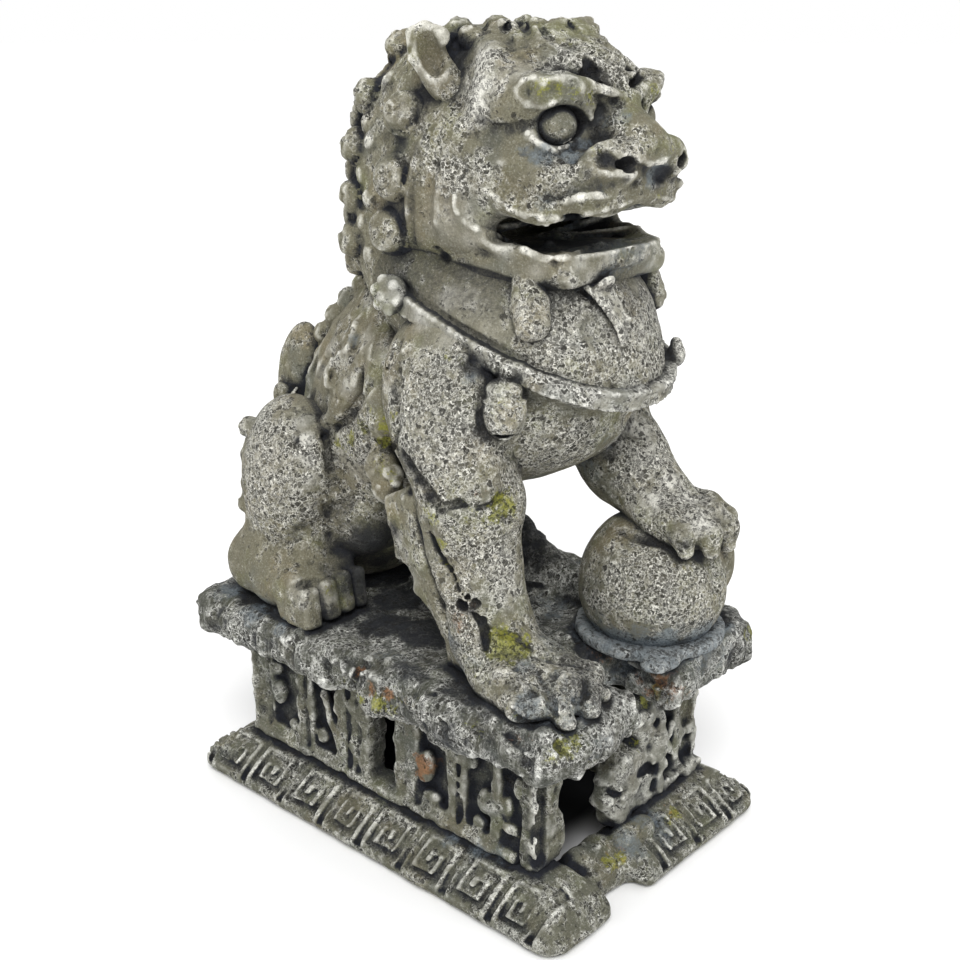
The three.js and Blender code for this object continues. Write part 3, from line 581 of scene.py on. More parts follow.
def lion():
    D = {}
    D["torso"] = [
        ell((0, -13, 89.5), (20.5, 21, 15.5)),
        cap((0, -4, 90), (0, 25, 68), 19, 18.5, k=8),
        ell((0, 30, 60), (19, 15, 19), k=8),
        ell((0, 14, 92), (14, 16, 12), rot(40, 0, 0), k=8),
    ]
    # spine under the row of curls
    D["torso"].append(chain([(0, 12, 104.0), (0, 20, 102.6), (0, 27, 99.4), (0, 33, 95.0), (0, 38, 90.0), (0, 41, 84.0)], [6.0, 5.0, 4.6, 4.4, 4.4, 4.6], k=3.0))
    # ribs and chest folds
    D["torso"] += both(chain([(-16.4, 6, 92), (-18.6, 9, 84), (-18.2, 11, 77), (-15, 12, 71)], [1.0, 1.6, 1.5, 0.8], k=2.5))
    # ---------------------------------------------------------- right foreleg, planted
    rf = [
        ell((-19, -11, 91), (8.5, 13, 15), rot(-8, 0, 0)),
        ell((-22.4, -16, 90), (6.2, 9.0, 10.5), rot(-10, 0, 0), k=3),
        cap((-20, -14, 84), (-20, -17.5, 74), 9.6, 8.8, k=4),
        ell((-20.5, -20, 74.5), (8.2, 8.6, 7.5), k=3),
        ell((-23.4, -22.4, 80.6), (4.6, 4.4, 3.8), k=2.0),
        cap((-20, -18.5, 72), (-20, -23.5, 50), 8.0, 7.0, k=3),
        ell((-20.5, -33, 44.4), (10.0, 12.4, 5.0), k=4), ell((-24.5, -34.5, 46.4), (4.6, 6.0, 2.6), rot(12, 0, 10), k=1.2), ell((-17.0, -33.5, 46.6), (4.4, 6.0, 2.6), rot(12, 0, -8), k=1.2),
        cap((-20, -23.5, 50), (-20.3, -29, 46.6), 7.2, 5.8, k=3),
        chain([(-26.2, -13.5, 74), (-27.4, -16.5, 66), (-26.6, -20, 57), (-26.2, -23.5, 50.5)], [1.2, 1.7, 1.5, 1.0], k=1.6),
    ]
    for c, r in (((-19.0, -42.6, 45.2), (4.0, 3.6, 3.0)), ((-24.8, -42.4, 44.4), (3.4, 3.4, 2.6)), ((-29.4, -38.8, 44.2), (3.0, 3.6, 2.4)), ((-13.8, -40.4, 44.8), (3.0, 3.4, 2.6)),
                 ((-21.4, -46.0, 43.4), (2.4, 1.8, 1.8)), ((-26.8, -45.6, 43.0), (2.0, 1.7, 1.6)), ((-15.8, -44.6, 43.4), (2.0, 1.7, 1.6)), ((-22.0, -38.0, 47.2), (2.4, 2.6, 1.6))):
        rf.append(ell(c, r, rot(0, 0, c[0] * 4), k=0.8))
    D["right_foreleg"] = rf
    lf = [
        ell((18, -11, 91), (8.5, 13, 15), rot(-8, 0, 0)),
        ell((21.6, -16, 90), (6.2, 9.0, 10.5), rot(-10, 0, 0), k=3),
        cap((18, -14, 85), (17, -24.5, 74), 9.6, 8.2, k=4),
        cap((17, -24.5, 74), (15.8, -32.5, 69), 8.0, 6.8, k=3),
        ell((14.4, -39, 66.4), (8.4, 9.3, 4.6), rot(14, 0, 0), k=3),
    ]
    for t in [(7.8, -43.4, 65.6, 3.1), (12.0, -46.2, 65.2, 3.3), (17.2, -46.4, 65.0, 3.3), (21.6, -43.6, 65.2, 3.0)]:
        a = np.array((t[0] * 0.6 + 6.4, t[1] + 8, 68.6))
        lf.append(chain([a, (t[0] * 0.9 + 1.5, t[1] + 2.2, 67.6), (t[0], t[1] - 1.0, t[2] + 0.4), (t[0], t[1] - 1.8, t[2] - 2.4)], [t[3] * 0.7, t[3] * 0.85, t[3] * 0.82, t[3] * 0.5], k=0.45, kk=0.6))
    D["left_foreleg"] = lf
    # ---------------------------------------------------------- hind legs
    rh = [
        ell((-20, 30, 67), (9.5, 11, 17.5), rot(6, 0, 0)),
        ell((-22.6, 28.0, 69), (6.0, 8.6, 11.5), rot(8, 0, 0), k=3),
        ell((-13.0, 19, 62), (6.0, 8.0, 10), rot(-20, 0, 0), k=4),
        ell((-22, 31, 50), (9.0, 12, 8.6), k=5),
        cap((-24, 28, 48.0), (-23.5, 20, 46.6), 6.4, 5.2, k=4),
        ell((-23.5, 38.0, 48.0), (6.0, 6.4, 6.4), k=3),
    ]
    rh.append(box((-23.0, 20.5, 46.6), (8.4, 4.4, 5.2), rot(-22, 0, 0), r=2.4, k=1.6))
    for x, y, w, z in ((-29.4, 16.2, 2.2, 45.4), (-24.9, 15.8, 1.9, 46.2), (-20.8, 15.8, 1.8, 46.6), (-17.0, 15.8, 1.6, 46.4)):
        rh.append(box((x, y + 1.2, z), (w, 3.6, 4.2), rot(-10, 2 * np.sin(x), 3 * np.cos(x * 2)), r=1.2, k=0.35))
    # hair nubs down the back edge of the haunch
    for c, r in (((-24.2, 37.6, 77.0), 2.3), ((-24.2, 39.6, 60.6), 2.1)):
        rh.append(curl(c, (-0.72, 0.66, 0.1), r, turns=1.3, hand=1, depth=0.4, flat=0.95, k=0.5))
    rh.append(chain([(-24.0, 38.4, 74.0), (-23.8, 39.2, 71.0), (-24.4, 38.8, 68.0), (-23.8, 39.6, 65.0), (-24.0, 39.8, 62.4)], [0.9, 1.4, 1.0, 1.4, 1.0], k=0.6, kk=0.4))
    D["right_hind_leg"] = rh
    D["left_hind_leg"] = mir(rh)
    # ---------------------------------------------------------- neck and bib
    D["neck_bib"] = [ell((0, -12.5, 105), (21.0, 24.5, 13)), ell((0, -14.2, 103.2), (21.4, 28.2, 9.2), rot(21.3, 0, 0), k=4), ell((0, 0, 112), (19, 18, 16), k=6),
                     ell((0, -25.5, 101.5), (15, 12.5, 8.5), rot(18, 0, 0), k=5)]
    # ---------------------------------------------------------- head
    head = [
        ell((0, -8, 134), (18.5, 22, 17.5)),
        box((0, -18, 131.5), (16.5, 14, 13), r=9, k=5),
        ell((0, -17, 145), (14.5, 13, 7.5), k=4),
        ell((0, -26.5, 129), (15.8, 10, 6.6), k=3),
        ell((0, -26.8, 145.4), (7.6, 5.0, 4.6), k=2.5),
    ]
    head += both(ell((-15.5, -8, 126), (6.5, 12.5, 14.5), k=4))
    # upper lip, rolled
    head += both(chain([(-18.5, -11, 127.4), (-18.0, -19, 126.4), (-16.4, -25, 125.0), (-14.4, -30.2, 124.0), (-11.2, -33.6, 124.2), (-6.6, -35.6, 125.2), (-2.2, -36.9, 126.6), (0, -37.2, 127.2)],
                 [1.5, 2.0, 2.2, 2.3, 2.3, 2.2, 2.0, 1.9], k=1.4))
    head += both(chain([(-19.2, -15.2, 127.0), (-18.8, -19.6, 126.6), (-17.8, -23.8, 125.5), (-16.8, -27.7, 124.0), (-14.0, -32.1, 123.1), (-11.4, -34.6, 123.5), (-8.2, -36.5, 124.5), (-4.2, -37.8, 125.9), (-1.2, -38.6, 126.4)],
                 [0.6, 0.8, 0.85, 0.9, 0.95, 0.9, 0.9, 0.85, 0.6], k=0.5))
    # muzzle pad between the lip and the nose
    head += both(ell((-8.4, -33.8, 128.2), (6.4, 4.8, 3.4), rot(0, -12, 0), k=1.8))
    # temple column, flame brow and its rim
    head += both(chain([(-11.8, -14.6, 149.0), (-13.8, -16.8, 147.2), (-15.0, -17.0, 144.6), (-16.4, -17.6, 141.2), (-16.8, -17.6, 138.4)], [1.8, 2.6, 2.8, 2.8, 2.2], k=3.0))
    head += both(chain([(-16.6, -19.2, 138.0), (-15.8, -22.4, 139.8), (-15.0, -25.6, 141.8), (-13.6, -28.2, 142.9), (-11.6, -30.2, 143.2), (-9.2, -31.6, 142.6), (-7.2, -32.0, 140.8)],
                       [2.2, 2.8, 3.0, 3.0, 2.7, 2.3, 1.5], k=2.0))
    head += both(chain([(-16.4, -21.6, 137.6), (-15.8, -25.4, 138.6), (-14.2, -28.6, 140.4), (-11.4, -31.0, 141.4), (-8.4, -32.3, 140.4), (-7.2, -32.6, 138.6)], [0.5, 0.8, 0.9, 0.95, 0.9, 0.7], k=0.6))
    head += both(ell((-14.4, -21.6, 142.4), (3.2, 5.6, 4.0), rot(20, 0, 18), k=2.5))
    # folds across the root of the nose
    head += [chain([(-8.8, -32.0, 143.9), (-6.2, -32.9, 142.6), (-2.2, -33.4, 141.4), (2.2, -33.4, 141.4), (6.2, -32.9, 142.6), (8.8, -32.0, 143.9)], [0.8, 1.2, 1.3, 1.3, 1.2, 0.8], k=0.7),
             chain([(-5.4, -31.6, 145.2), (-2.0, -32.4, 144.2), (2.0, -32.4, 144.2), (5.4, -31.6, 145.2)], [0.7, 1.0, 1.0, 0.7], k=0.6)]
    head += [cap((0, -29, 140), (0, -36.3, 134.3), 4.4, 5.0, k=2.2), ell((0, -38.0, 132.6), (5.8, 4.0, 3.6), k=1.8), ell((0, -43.0, 134.2), (1.0, 1.8, 1.8), k=0.8, mode="-"), ell((0, -37.4, 134.0), (7.6, 4.0, 2.2), rot(-8, 0, 0), k=1.8)]
    # nostril wings as rings
    head += both(ell((-6.8, -37.3, 131.6), (4.2, 4.2, 3.6), k=1.6), ell((-9.0, -37.0, 133.5), (2.0, 2.4, 1.6), k=1.2), ell((-5.2, -40.0, 133.6), (1.6, 1.8, 1.8), k=1.0), ell((-9.8, -34.8, 130.6), (3.4, 3.6, 3.0), k=2.2))
    # cheek: ridge below the eye, jowl
    head += both(chain([(-17.0, -16.5, 132.0), (-16.4, -22, 130.4), (-14.8, -28, 129.8), (-12.4, -31.0, 130.0)], [3.0, 3.4, 3.2, 2.4], k=3.0),
                 ell((-17.2, -12.6, 129.0), (3.8, 7.0, 8.5), k=4))
    # lower lid
    head += both(chain([(-15.2, -25.8, 136.4), (-14.6, -27.8, 134.6), (-12.6, -30.2, 133.5), (-10.0, -31.8, 133.9), (-7.8, -31.8, 135.6)], [0.7, 0.95, 1.0, 0.95, 0.7], k=0.4))
    # underside cut clear of the jaw
    head += [box((0, -21, 110), (40, 30, 6.5), k=2, mode="-")]
    D["head"] = head
    D["right_ear"] = []
    en = np.array((-0.82, -0.50, 0.16)); en /= np.linalg.norm(en)
    ea = np.array((-0.14, 0.42, 0.90)); ea -= en * (en @ ea); ea /= np.linalg.norm(ea)
    ew = np.cross(ea, en)
    ER = np.stack([en, ew, ea], 1)
    ec = np.array((-17.6, -8.0, 147.6))
    D["right_ear"] = [ell(ec, (2.5, 3.4, 5.7), ER), ell(ec - ea * 4.2 + en * 0.2, (2.6, 2.8, 3.2), ER, k=1.5),
                      chain([ec - ea * 4.0 + ew * 1.6 + en * 1.0, ec - ea * 0.6 + ew * 3.5 + en * 1.5, ec + ea * 2.6 + ew * 2.9 + en * 1.4, ec + ea * 4.9 + ew * 0.9 + en * 1.0, ec + ea * 5.0 - ew * 1.6 + en * 0.8, ec + ea * 1.4 - ew * 3.1 + en * 0.7, ec - ea * 2.8 - ew * 2.2 + en * 0.8],
                            [1.0, 1.35, 1.2, 1.0, 0.9, 0.85, 0.8], k=0.4, kk=0.3),
                      ell(ec + en * 2.5 + ea * 0.3, (3.0, 2.1, 4.0), ER, k=0.5, mode="-")]
    D["left_ear"] = mir(D["right_ear"])
    # ---------------------------------------------------------- lower jaw
    jaw = [ell((0, -15, 112.2), (16.4, 15.0, 4.8)), box((0, -22.6, 114.2), (14.0, 12.0, 2.6), r=2.2, k=2.5)]
    jaw += both(chain([(-18.4, -12.4, 121.4), (-17.2, -19.0, 119.4), (-15.4, -24.5, 117.2), (-13.2, -28.9, 115.6), (-11.2, -32.2, 115.5), (-5.8, -34.4, 116.0), (0, -35.2, 116.4)],
                 [1.4, 1.7, 1.7, 1.7, 1.7, 1.7, 1.7], k=1.2))
    jaw += both(chain([(-19.2, -15.4, 122.0), (-17.9, -19.4, 120.4), (-16.2, -23.2, 118.6), (-14.8, -27.0, 117.3), (-13.8, -30.2, 116.8), (-11.8, -32.8, 116.8), (-5.8, -35.3, 117.4), (0, -36.1, 117.8)],
                 [0.6, 0.75, 0.8, 0.8, 0.85, 0.85, 0.8, 0.8], k=0.4))
    jaw += both(cap((-10.6, -28.0, 115.5), (-10.8, -28.6, 119.6), 1.5, 0.8, k=0.4), cap((-17.0, -10.5, 117.0), (-14.6, -27.5, 113.4), 1.8, 1.6, k=2.0))
    jaw += [ell((0, -22.0, 116.2), (8.0, 9.0, 1.8), rot(-4, 0, 0), k=0.8)]
    D["lower_jaw"] = jaw
    # ---------------------------------------------------------- beard
    bt = []
    for i, (x0, x1, w) in enumerate(((-9.6, -6.1, 0.56), (-8.1, -5.6, 0.60), (-6.5, -5.1, 0.64), (-4.9, -4.6, 0.64), (-3.4, -4.2, 0.60), (-2.0, -3.8, 0.52))):
        e = (0.0, 1.4, 0.0, 0.9, 2.6, 4.2)[i]
        bt.append(chain([(x0, -30.6 - 0.1 * i, 113.8), (x0 * 0.6 + x1 * 0.4, -34.2, 111.4), (x0 * 0.25 + x1 * 0.75, -36.6, 108.4), (x1, -38.4, 105.4 + e * 0.3), (x1 + 0.25, -39.5, 102.4 + e)], [w * 1.05, w * 1.05, w, w * 0.85, 0.35], k=0.12, kk=0.25))
    bt += [ell((-5.2, -34.0, 110.8), (2.9, 0.8, 3.6), rot(38, 0, 0), k=0.2)]
    E = {}
    E["beard_tuft"] = bt
    rb = [chain([(-14.6, -26.0, 112.4), (-15.8, -27.8, 109.0), (-16.4, -28.6, 106.2)], [2.6, 3.2, 3.0], kk=1.0), curl((-16.9, -29.4, 106.4), (-0.55, -0.8, -0.2), 3.1, turns=1.5, hand=1, depth=0.4, flat=0.8, k=0.6)]
    E["right_beard_curl"] = rb
    E["left_beard_curl"] = mir(rb)
    # ---------------------------------------------------------- mane: cap with snail curls
    core = [ell((0, 2, 129), (19.4, 17.0, 22.0)), ell((0, 6, 112), (18.0, 13.6, 15), k=8), ell((0, -4.0, 142.5), (15.6, 14.5, 9.8), k=5)]
    mane = list(core)
    spots = [((-19.4, -3.3, 138.4), (-0.9, 0.05, 0.42), 3.9, 1), ((-20.9, -2.6, 128.4), (-1, 0.0, 0.08), 4.1, -1), ((-20.4, -0.6, 119.0), (-1, 0.0, -0.05), 4.2, 1)]
    cols = [(33, (147.4, 140.6, 132.2, 123.6, 115.6), 3.7), (52, (136.6, 127.8, 119.4, 111.2), 3.7), (72, (149.0, 141.8, 133.0, 124.2, 115.4, 107.6), 3.6), (90, (137.6, 128.6, 119.8, 111.4, 104.6), 3.6)]
    hand = 1
    for az, zs, r in cols:
        for z in zs:
            a = np.radians(az)
            o = (0, 3.0, min(z, 146.0))
            p, n = land(core, o, (-np.cos(a), np.sin(a), (z - o[2]) * 0.08 + 0.0)) if z <= 146 else land(core, (0, 2.0, 138.0), (-np.cos(a) * 9, np.sin(a) * 9, z - 138.0))
            spots.append((tuple(p), tuple(n), r, hand))
            hand = -hand
    # small filler curls between the big ones
    fill = [(8, 143.6), (10, 133.6), (12, 124.0), (13, 114.2), (22, 128.0), (22, 119.6), (22, 136.6), (43, 144.6), (43, 128.0), (43, 119.6), (42, 111.6), (62, 145.4), (62, 138.0), (62, 128.6), (62, 120.0), (62, 111.4), (81, 146.2), (81, 137.4), (81, 128.6), (81, 119.8), (81, 111.2)]
    for az, z in fill:
        a = np.radians(az)
        p, n = land(core, (0, 3.0, min(z, 145.0)), (-np.cos(a), np.sin(a), 0.0))
        spots.append((tuple(p), tuple(n), 1.9, 1 if int(z) % 2 else -1))
    for p, n, r, hd in spots:
        p, n = np.array(p), np.array(n) / np.linalg.norm(n)
        c = curl(p + n * (0.10 * r), n, r, turns=1.55, hand=hd, depth=0.62 if r > 3 else 0.4, flat=0.92 if r > 3 else 0.55, k=0.35 if r > 3 else 0.9)
        mane.append(c)
        if abs(p[0]) > 1.2:
            mane.append(c.mirrored())
    # hairline across the brow and the locks behind it
    for (x, y, z), r, hd in (((-13.6, -5.4, 150.0), 2.5, 1), ((-11.0, -10.2, 151.2), 2.5, -1), ((-7.4, -14.4, 152.0), 2.8, 1), ((-2.6, -17.6, 152.4), 2.5, -1), ((2.4, -18.4, 152.4), 2.5, 1), ((7.2, -16.0, 152.0), 2.7, -1), ((11.0, -10.8, 151.2), 2.5, 1), ((13.6, -5.4, 150.0), 2.5, -1),
                             ((-8.6, -5.2, 152.2), 2.7, 1), ((-3.6, -9.8, 152.8), 2.6, -1), ((3.2, -10.4, 152.8), 2.6, 1), ((8.6, -5.6, 152.2), 2.7, -1), ((-4.4, -1.6, 152.4), 2.6, 1), ((3.6, -2.6, 152.4), 2.6, -1), ((0, 5.0, 151.0), 2.8, 1), ((-7.6, 3.4, 150.4), 2.8, -1), ((7.6, 3.4, 150.4), 2.8, 1)):
        n = np.array((x * 0.035, (y + 4) * 0.03, 1.0))
        mane.append(curl((x, y, z - 0.6), n, r, up=(0, 1, 0), turns=1.4, hand=hd, depth=0.45, flat=0.85, k=0.35))
    for pts, rr in (([(-9.6, -18.6, 150.4), (-5.6, -22.6, 150.6), (-0.6, -24.2, 150.9), (4.6, -23.4, 151.4), (8.4, -21.2, 152.2)], [0.9, 1.4, 1.5, 1.4, 0.8]),
                    ([(-6.6, -20.2, 151.6), (-2.0, -22.0, 152.2), (3.0, -21.8, 152.5), (8.4, -19.4, 152.9), (10.6, -18.6, 153.6)], [0.9, 1.3, 1.4, 1.2, 0.6]),
                    ([(-8.6, -23.4, 148.9), (-4.2, -26.0, 149.2), (0.8, -26.6, 149.8), (5.8, -25.0, 150.2)], [0.7, 1.0, 1.1, 0.7])):
        mane.append(chain(pts, rr, k=0.4, kk=0.3))
    D["mane"] = mane
    # ---------------------------------------------------------- hair down the back
    def lock(pts, r, k=0.5):
        pts = np.array(pts, float)
        return chain(pts, r, k=k, kk=0.8)
    ga = np.array([(-6.6, 19.6, 103.6), (-8.8, 25.6, 97.0), (-9.0, 31.4, 90.2), (-8.0, 36.4, 84.0), (-6.6, 39.6, 79.0)])
    gb = np.array([(-13.2, 10.4, 101.0), (-16.8, 10.6, 95.0), (-18.4, 12.6, 89.4), (-18.6, 16.4, 84.0), (-18.2, 21.6, 79.6)])
    rl = []
    for i in range(9):
        t = i / 8.0
        q = ga * (1 - t) + gb * t
        q[:, 0] -= 1.1 * np.sin(np.pi * t) * np.array([1, 1.3, 1.2, 0.8, 0.2])
        q[1:4] += 0.55 * np.array([[0.3, 1, -0.6]]) * np.sin(i * 2.1 + np.arange(3)[:, None] * 1.7)
        w = 1.75 + 0.35 * np.sin(i * 2.7)
        if i % 3 == 1:
            q = q[:4]
        rl.append(lock(q, np.array([1.0, 1.1, 1.0, 0.85, 0.5][:len(q)]) * w, k=1.4))
    rl += [lock([(-13.4, 8.6, 100.8), (-17.6, 6.0, 95.6), (-20.2, 3.4, 90.0), (-20.6, 3.2, 84.4), (-20.0, 4.4, 79.0)], [2.1, 2.7, 2.8, 2.6, 1.6], k=0.5),
           lock([(-15.2, 9.6, 99.0), (-18.6, 7.6, 94.0), (-20.2, 6.4, 88.4), (-20.0, 6.8, 82.8)], [1.0, 1.3, 1.2, 0.7], k=0.4),
           lock([(-10.2, 10.6, 103.6), (-9.8, 15.2, 103.2), (-8.4, 19.2, 102.2)], [1.8, 2.2, 1.6]),
           ell((-20.6, 3.6, 75.6), (3.0, 3.4, 3.4), k=0.7), ell((-20.4, 2.2, 71.6), (2.8, 3.2, 3.2), k=0.6), ell((-20.8, 0.4, 74.4), (2.0, 2.2, 2.4), k=0.5)]
    for c, r, hd in (((-4.6, 23.4, 104.6), 3.0, 1), ((-4.2, 28.6, 101.0), 2.7, -1), ((-4.2, 32.8, 97.2), 2.6, 1), ((-4.2, 37.2, 93.2), 2.0, -1)):
        rl.append(curl(c, (-0.5, 0.6, 0.62), r, turns=1.4, hand=hd, depth=0.4, flat=0.9, k=0.5))
    D["right_back_locks"] = rl
    D["left_back_locks"] = mir(rl)
    # ---------------------------------------------------------- tail
    tail = [chain([(-2, 42, 60), (-2.5, 45, 72), (-3, 44, 82)], [5.0, 5.6, 4.6], kk=1)]
    tail += [ell((-5.6, 43.6, 84.6), (3.4, 5.2, 10.2), rot(9, 8, 0), k=0.8), ell((-8.4, 48.4, 75.0), 1.8, k=0.5),
             chain([(-9.6, 46.0, 76), (-9.4, 44.6, 84), (-7.6, 43.0, 92)], [0.5, 0.7, 0.4], k=0.6, mode="-"),
             chain([(-9.0, 48.2, 73.4), (-10.6, 44.0, 75.6), (-11.0, 40.4, 79.4), (-10.2, 39.0, 82.0)], [0.6, 0.8, 0.8, 0.5], k=0.3), chain([(-12.0, 44.6, 72.6), (-13.6, 40.6, 75.0), (-13.0, 37.6, 79.0)], [0.6, 0.8, 0.6], k=0.3),
             ell((2.6, 44.8, 82.5), (3.2, 3.2, 8.0), rot(-6, 12, 0), k=0.6), ell((-8.6, 43.2, 76.5), (2.8, 3.2, 6.5), rot(-4, -24, 0), k=0.6),
             ell((6.8, 43.6, 73.5), (2.8, 3.0, 6.5), rot(-4, 26, 0), k=0.6)]
    for c, r, hd in (((-7.4, 45.2, 68), 3.2, 1), ((6.2, 45.4, 66), 3.2, -1), ((-5.0, 46.4, 60.5), 3.0, -1), ((4.2, 46.2, 58.6), 3.0, 1), ((-0.5, 48.6, 66), 3.2, 1), ((-0.4, 48.0, 74.5), 2.8, -1)):
        tail.append(curl(c, (c[0] * 0.08, 1, 0.1), r, turns=1.5, hand=hd, depth=0.45, flat=0.85, k=0.5))
    D["tail"] = tail
    # ---------------------------------------------------------- torn hair sheet behind the right foreleg
    edge = [(-23.4, -0.9, 71.0), (-23.4, -1.8, 67.3), (-23.4, -3.1, 64.7), (-23.4, -3.5, 60.5), (-23.4, -6.3, 60.3), (-23.4, -8.3, 57.3), (-23.4, -8.0, 54.8), (-23.4, -10.8, 54.0), (-23.4, -14.5, 50.2), (-23.4, -16.2, 47.7), (-23.4, -16.7, 44.5), (-23.4, -16.4, 42.2)]
    root = [(-24.4, -9.0, 74.0), (-24.6, -10.0, 69.5), (-24.6, -11.0, 66), (-24.6, -12.0, 62.5), (-24.4, -13.0, 60.5), (-24.4, -14.0, 57.8), (-24.2, -14.8, 55.5), (-24.2, -15.6, 53.6), (-24.0, -17.4, 50.4), (-23.8, -18.6, 48), (-23.6, -19.6, 45.5), (-23.4, -20.5, 43)]
    fr = []
    for i in range(len(edge) - 1):
        for s in (0.0, 0.34, 0.67):
            e = np.array(edge[i]) * (1 - s) + np.array(edge[i + 1]) * s
            q = np.array(root[i]) * (1 - s) + np.array(root[i + 1]) * s
            j = 0.55 * np.sin(i * 7.3 + s * 19.0)
            e = e + np.array((0.3 * np.cos(i * 5 + s * 11), j, -0.4 * j))
            fr.append(cap(q, e, 1.7, 0.6, k=0.9))
    fr.append(chain(edge, 0.75, k=0.5))
    D["right_leg_fringe"] = fr
    # ---------------------------------------------------------- carving after everything is joined
    carve = []
    carve += [box((0, -25.4, 120.4), (15.4, 11.4, 3.4), rot(-3, 0, 0), r=2.4, k=0.7, mode="-"), ell((0, -34.0, 120.9), (11.5, 5, 3.3), k=0.6, mode="-"),
              box((0, -14.0, 120.0), (13.0, 8.0, 3.4), r=2.4, k=1.0, mode="-")]
    carve += both(ell((-17.6, -23.6, 121.0), (2.8, 4.0, 2.3), rot(-12, 0, -20), k=0.7, mode="-"))
    carve += both(ell((-11.4, -30.6, 137.2), (4.3, 3.9, 3.5), rot(0, 10, 0), k=0.7, mode="-"))
    gz = np.array((-0.50, -0.855, 0.14)) / np.linalg.norm((-0.50, -0.855, 0.14))
    e1 = np.array((-gz[1], gz[0], 0.0)) / np.hypot(gz[0], gz[1])
    e2 = np.cross(gz, e1)
    lid = [np.array((-10.6, -28.2, 137.6)) + 4.7 * np.cos(np.radians(a)) * e1 + 4.1 * np.sin(np.radians(a)) * e2 + 1.1 * gz for a in (186, 212, 240, 268, 296, 322, 345)]
    carve += both(chain(lid, [0.45, 0.65, 0.75, 0.8, 0.75, 0.6, 0.45], k=0.45, kk=0.3))
    carve += both(ell((-7.4, -40.4, 131.8), (1.8, 2.8, 1.3), rot(0, 14, 0), k=0.5, mode="-"))
    carve += [ell((-17.4, -10.4, 115.2), (1.0, 1.0, 0.9), k=0.3, mode="-")]
    up = np.array((0, -0.36, 0.93)) * 2.15
    g = [tuple(np.array(p) + up) for p in COLLAR]
    carve += both(chain(g, 0.95, k=0.7, mode="-"))
    carve += both(chain([(-24.3, -6.6, 101.2), (-26.2, -6.9, 97.4), (-27.3, -7.4, 92), (-28.2, -8.6, 87), (-27.4, -8.4, 81)], [0.6, 1.0, 1.1, 1.0, 0.5], k=1.2, mode="-"))
    carve += both(chain([(-13.9, 10.6, 98.5), (-16.6, 9.8, 94.5), (-18.6, 9.2, 89.2), (-18.8, 11.6, 84.4), (-19.0, 16.5, 80.2), (-19.4, 21.5, 77.0)], [0.3, 0.45, 0.5, 0.5, 0.5, 0.3], k=0.5, mode="-"))
    carve += [box((0, 0, 20), (60, 60, 22.2), mode="-")]
    # ---------------------------------------------------------- trimmings
    gaze = np.array((-0.50, -0.855, 0.14))
    gaze /= np.linalg.norm(gaze)

    def iris(P):
        x, y, z = loc(P, (-10.6, -28.2, 137.6))
        al = x * F(gaze[0]) + y * F(gaze[1]) + z * F(gaze[2])
        rr = np.sqrt(np.maximum(x * x + y * y + z * z - al * al, 0))
        return smax(smax(np.sqrt(x * x + y * y + z * z) - F(3.85), rr - F(2.05), 0.3), -al, 0)
    E["right_eye"] = [ell((-10.8, -28.6, 137.5), 3.3), custom(iris, (-15.4, -33, 132), (-6, -23, 142), k=0.15)]
    E["left_eye"] = mir(E["right_eye"])
    pts = np.array([(-p[0], p[1], p[2]) for p in COLLAR[::-1]] + COLLAR[1:])
    sgl = np.concatenate([[0], np.cumsum(np.linalg.norm(np.diff(pts, axis=0), axis=1))])
    strap = chain(pts, 2.0)

    def rope(P, pts=pts, sgl=sgl):
        best, arc, lift = None, None, None
        for i in range(len(pts) - 1):
            a, b = pts[i], pts[i + 1]
            ba = b - a
            l2 = float(ba @ ba)
            x, y, z = loc(P, a)
            t = np.clip((x * F(ba[0]) + y * F(ba[1]) + z * F(ba[2])) * F(1 / l2), 0, 1)
            dx, dy, dz = x - t * F(ba[0]), y - t * F(ba[1]), z - t * F(ba[2])
            dd = dx * dx + dy * dy + dz * dz
            s = F(sgl[i]) + t * F(np.sqrt(l2))
            u = dz + dy * F(-0.30)
            if best is None:
                best, arc, lift = dd, s, u
            else:
                m = dd < best
                best = np.where(m, dd, best)
                arc = np.where(m, s, arc)
                lift = np.where(m, u, lift)
        across = np.sqrt(np.maximum(best - lift * lift, 0))
        a, b = across - F(0.75), np.abs(lift) - F(1.25)
        d = np.sqrt(np.maximum(a, 0) ** 2 + np.maximum(b, 0) ** 2) + np.minimum(np.maximum(a, b), 0) - F(0.45)
        w = np.sin(arc * F(6.1)) * F(0.5) + np.sin(arc * F(3.7) + F(1.0)) * F(0.5)
        rim = np.clip((np.abs(lift) - F(0.7)) * F(1.6), 0, 1)
        return d * F(0.9) + w * F(0.13) - rim * F(0.12)
    E["collar"] = [Op(rope, strap.lo, strap.hi)]
    E["collar"] += [ell((14.0, -37.0, 97.0), (1.6, 1.8, 2.4), k=0.6), ell((14.8, -36.4, 98.8), (1.0, 1.2, 1.3), k=0.5)]
    E["collar"] += both(ell((-23.2, -19.3, 99.8), 1.35, k=0.3), ell((-19.8, -26.6, 98.6), (1.5, 1.5, 1.7), k=0.3))
    ros = [ell((-22.0, -1.6, 108.5), (2.2, 3.5, 3.5)), ell((-24.1, -1.6, 108.5), (1.0, 1.3, 1.3), k=0.3)]
    for i in range(6):
        a = np.radians(60 * i + 15)
        ros.append(ell((-23.2, -1.6 + 2.45 * np.cos(a), 108.5 + 2.45 * np.sin(a)), (1.15, 1.25, 1.25), k=0.2))
    E["right_rosette"] = ros
    E["left_rosette"] = mir(ros)
    bc = np.array((-20.6, -26.4, 91.6))
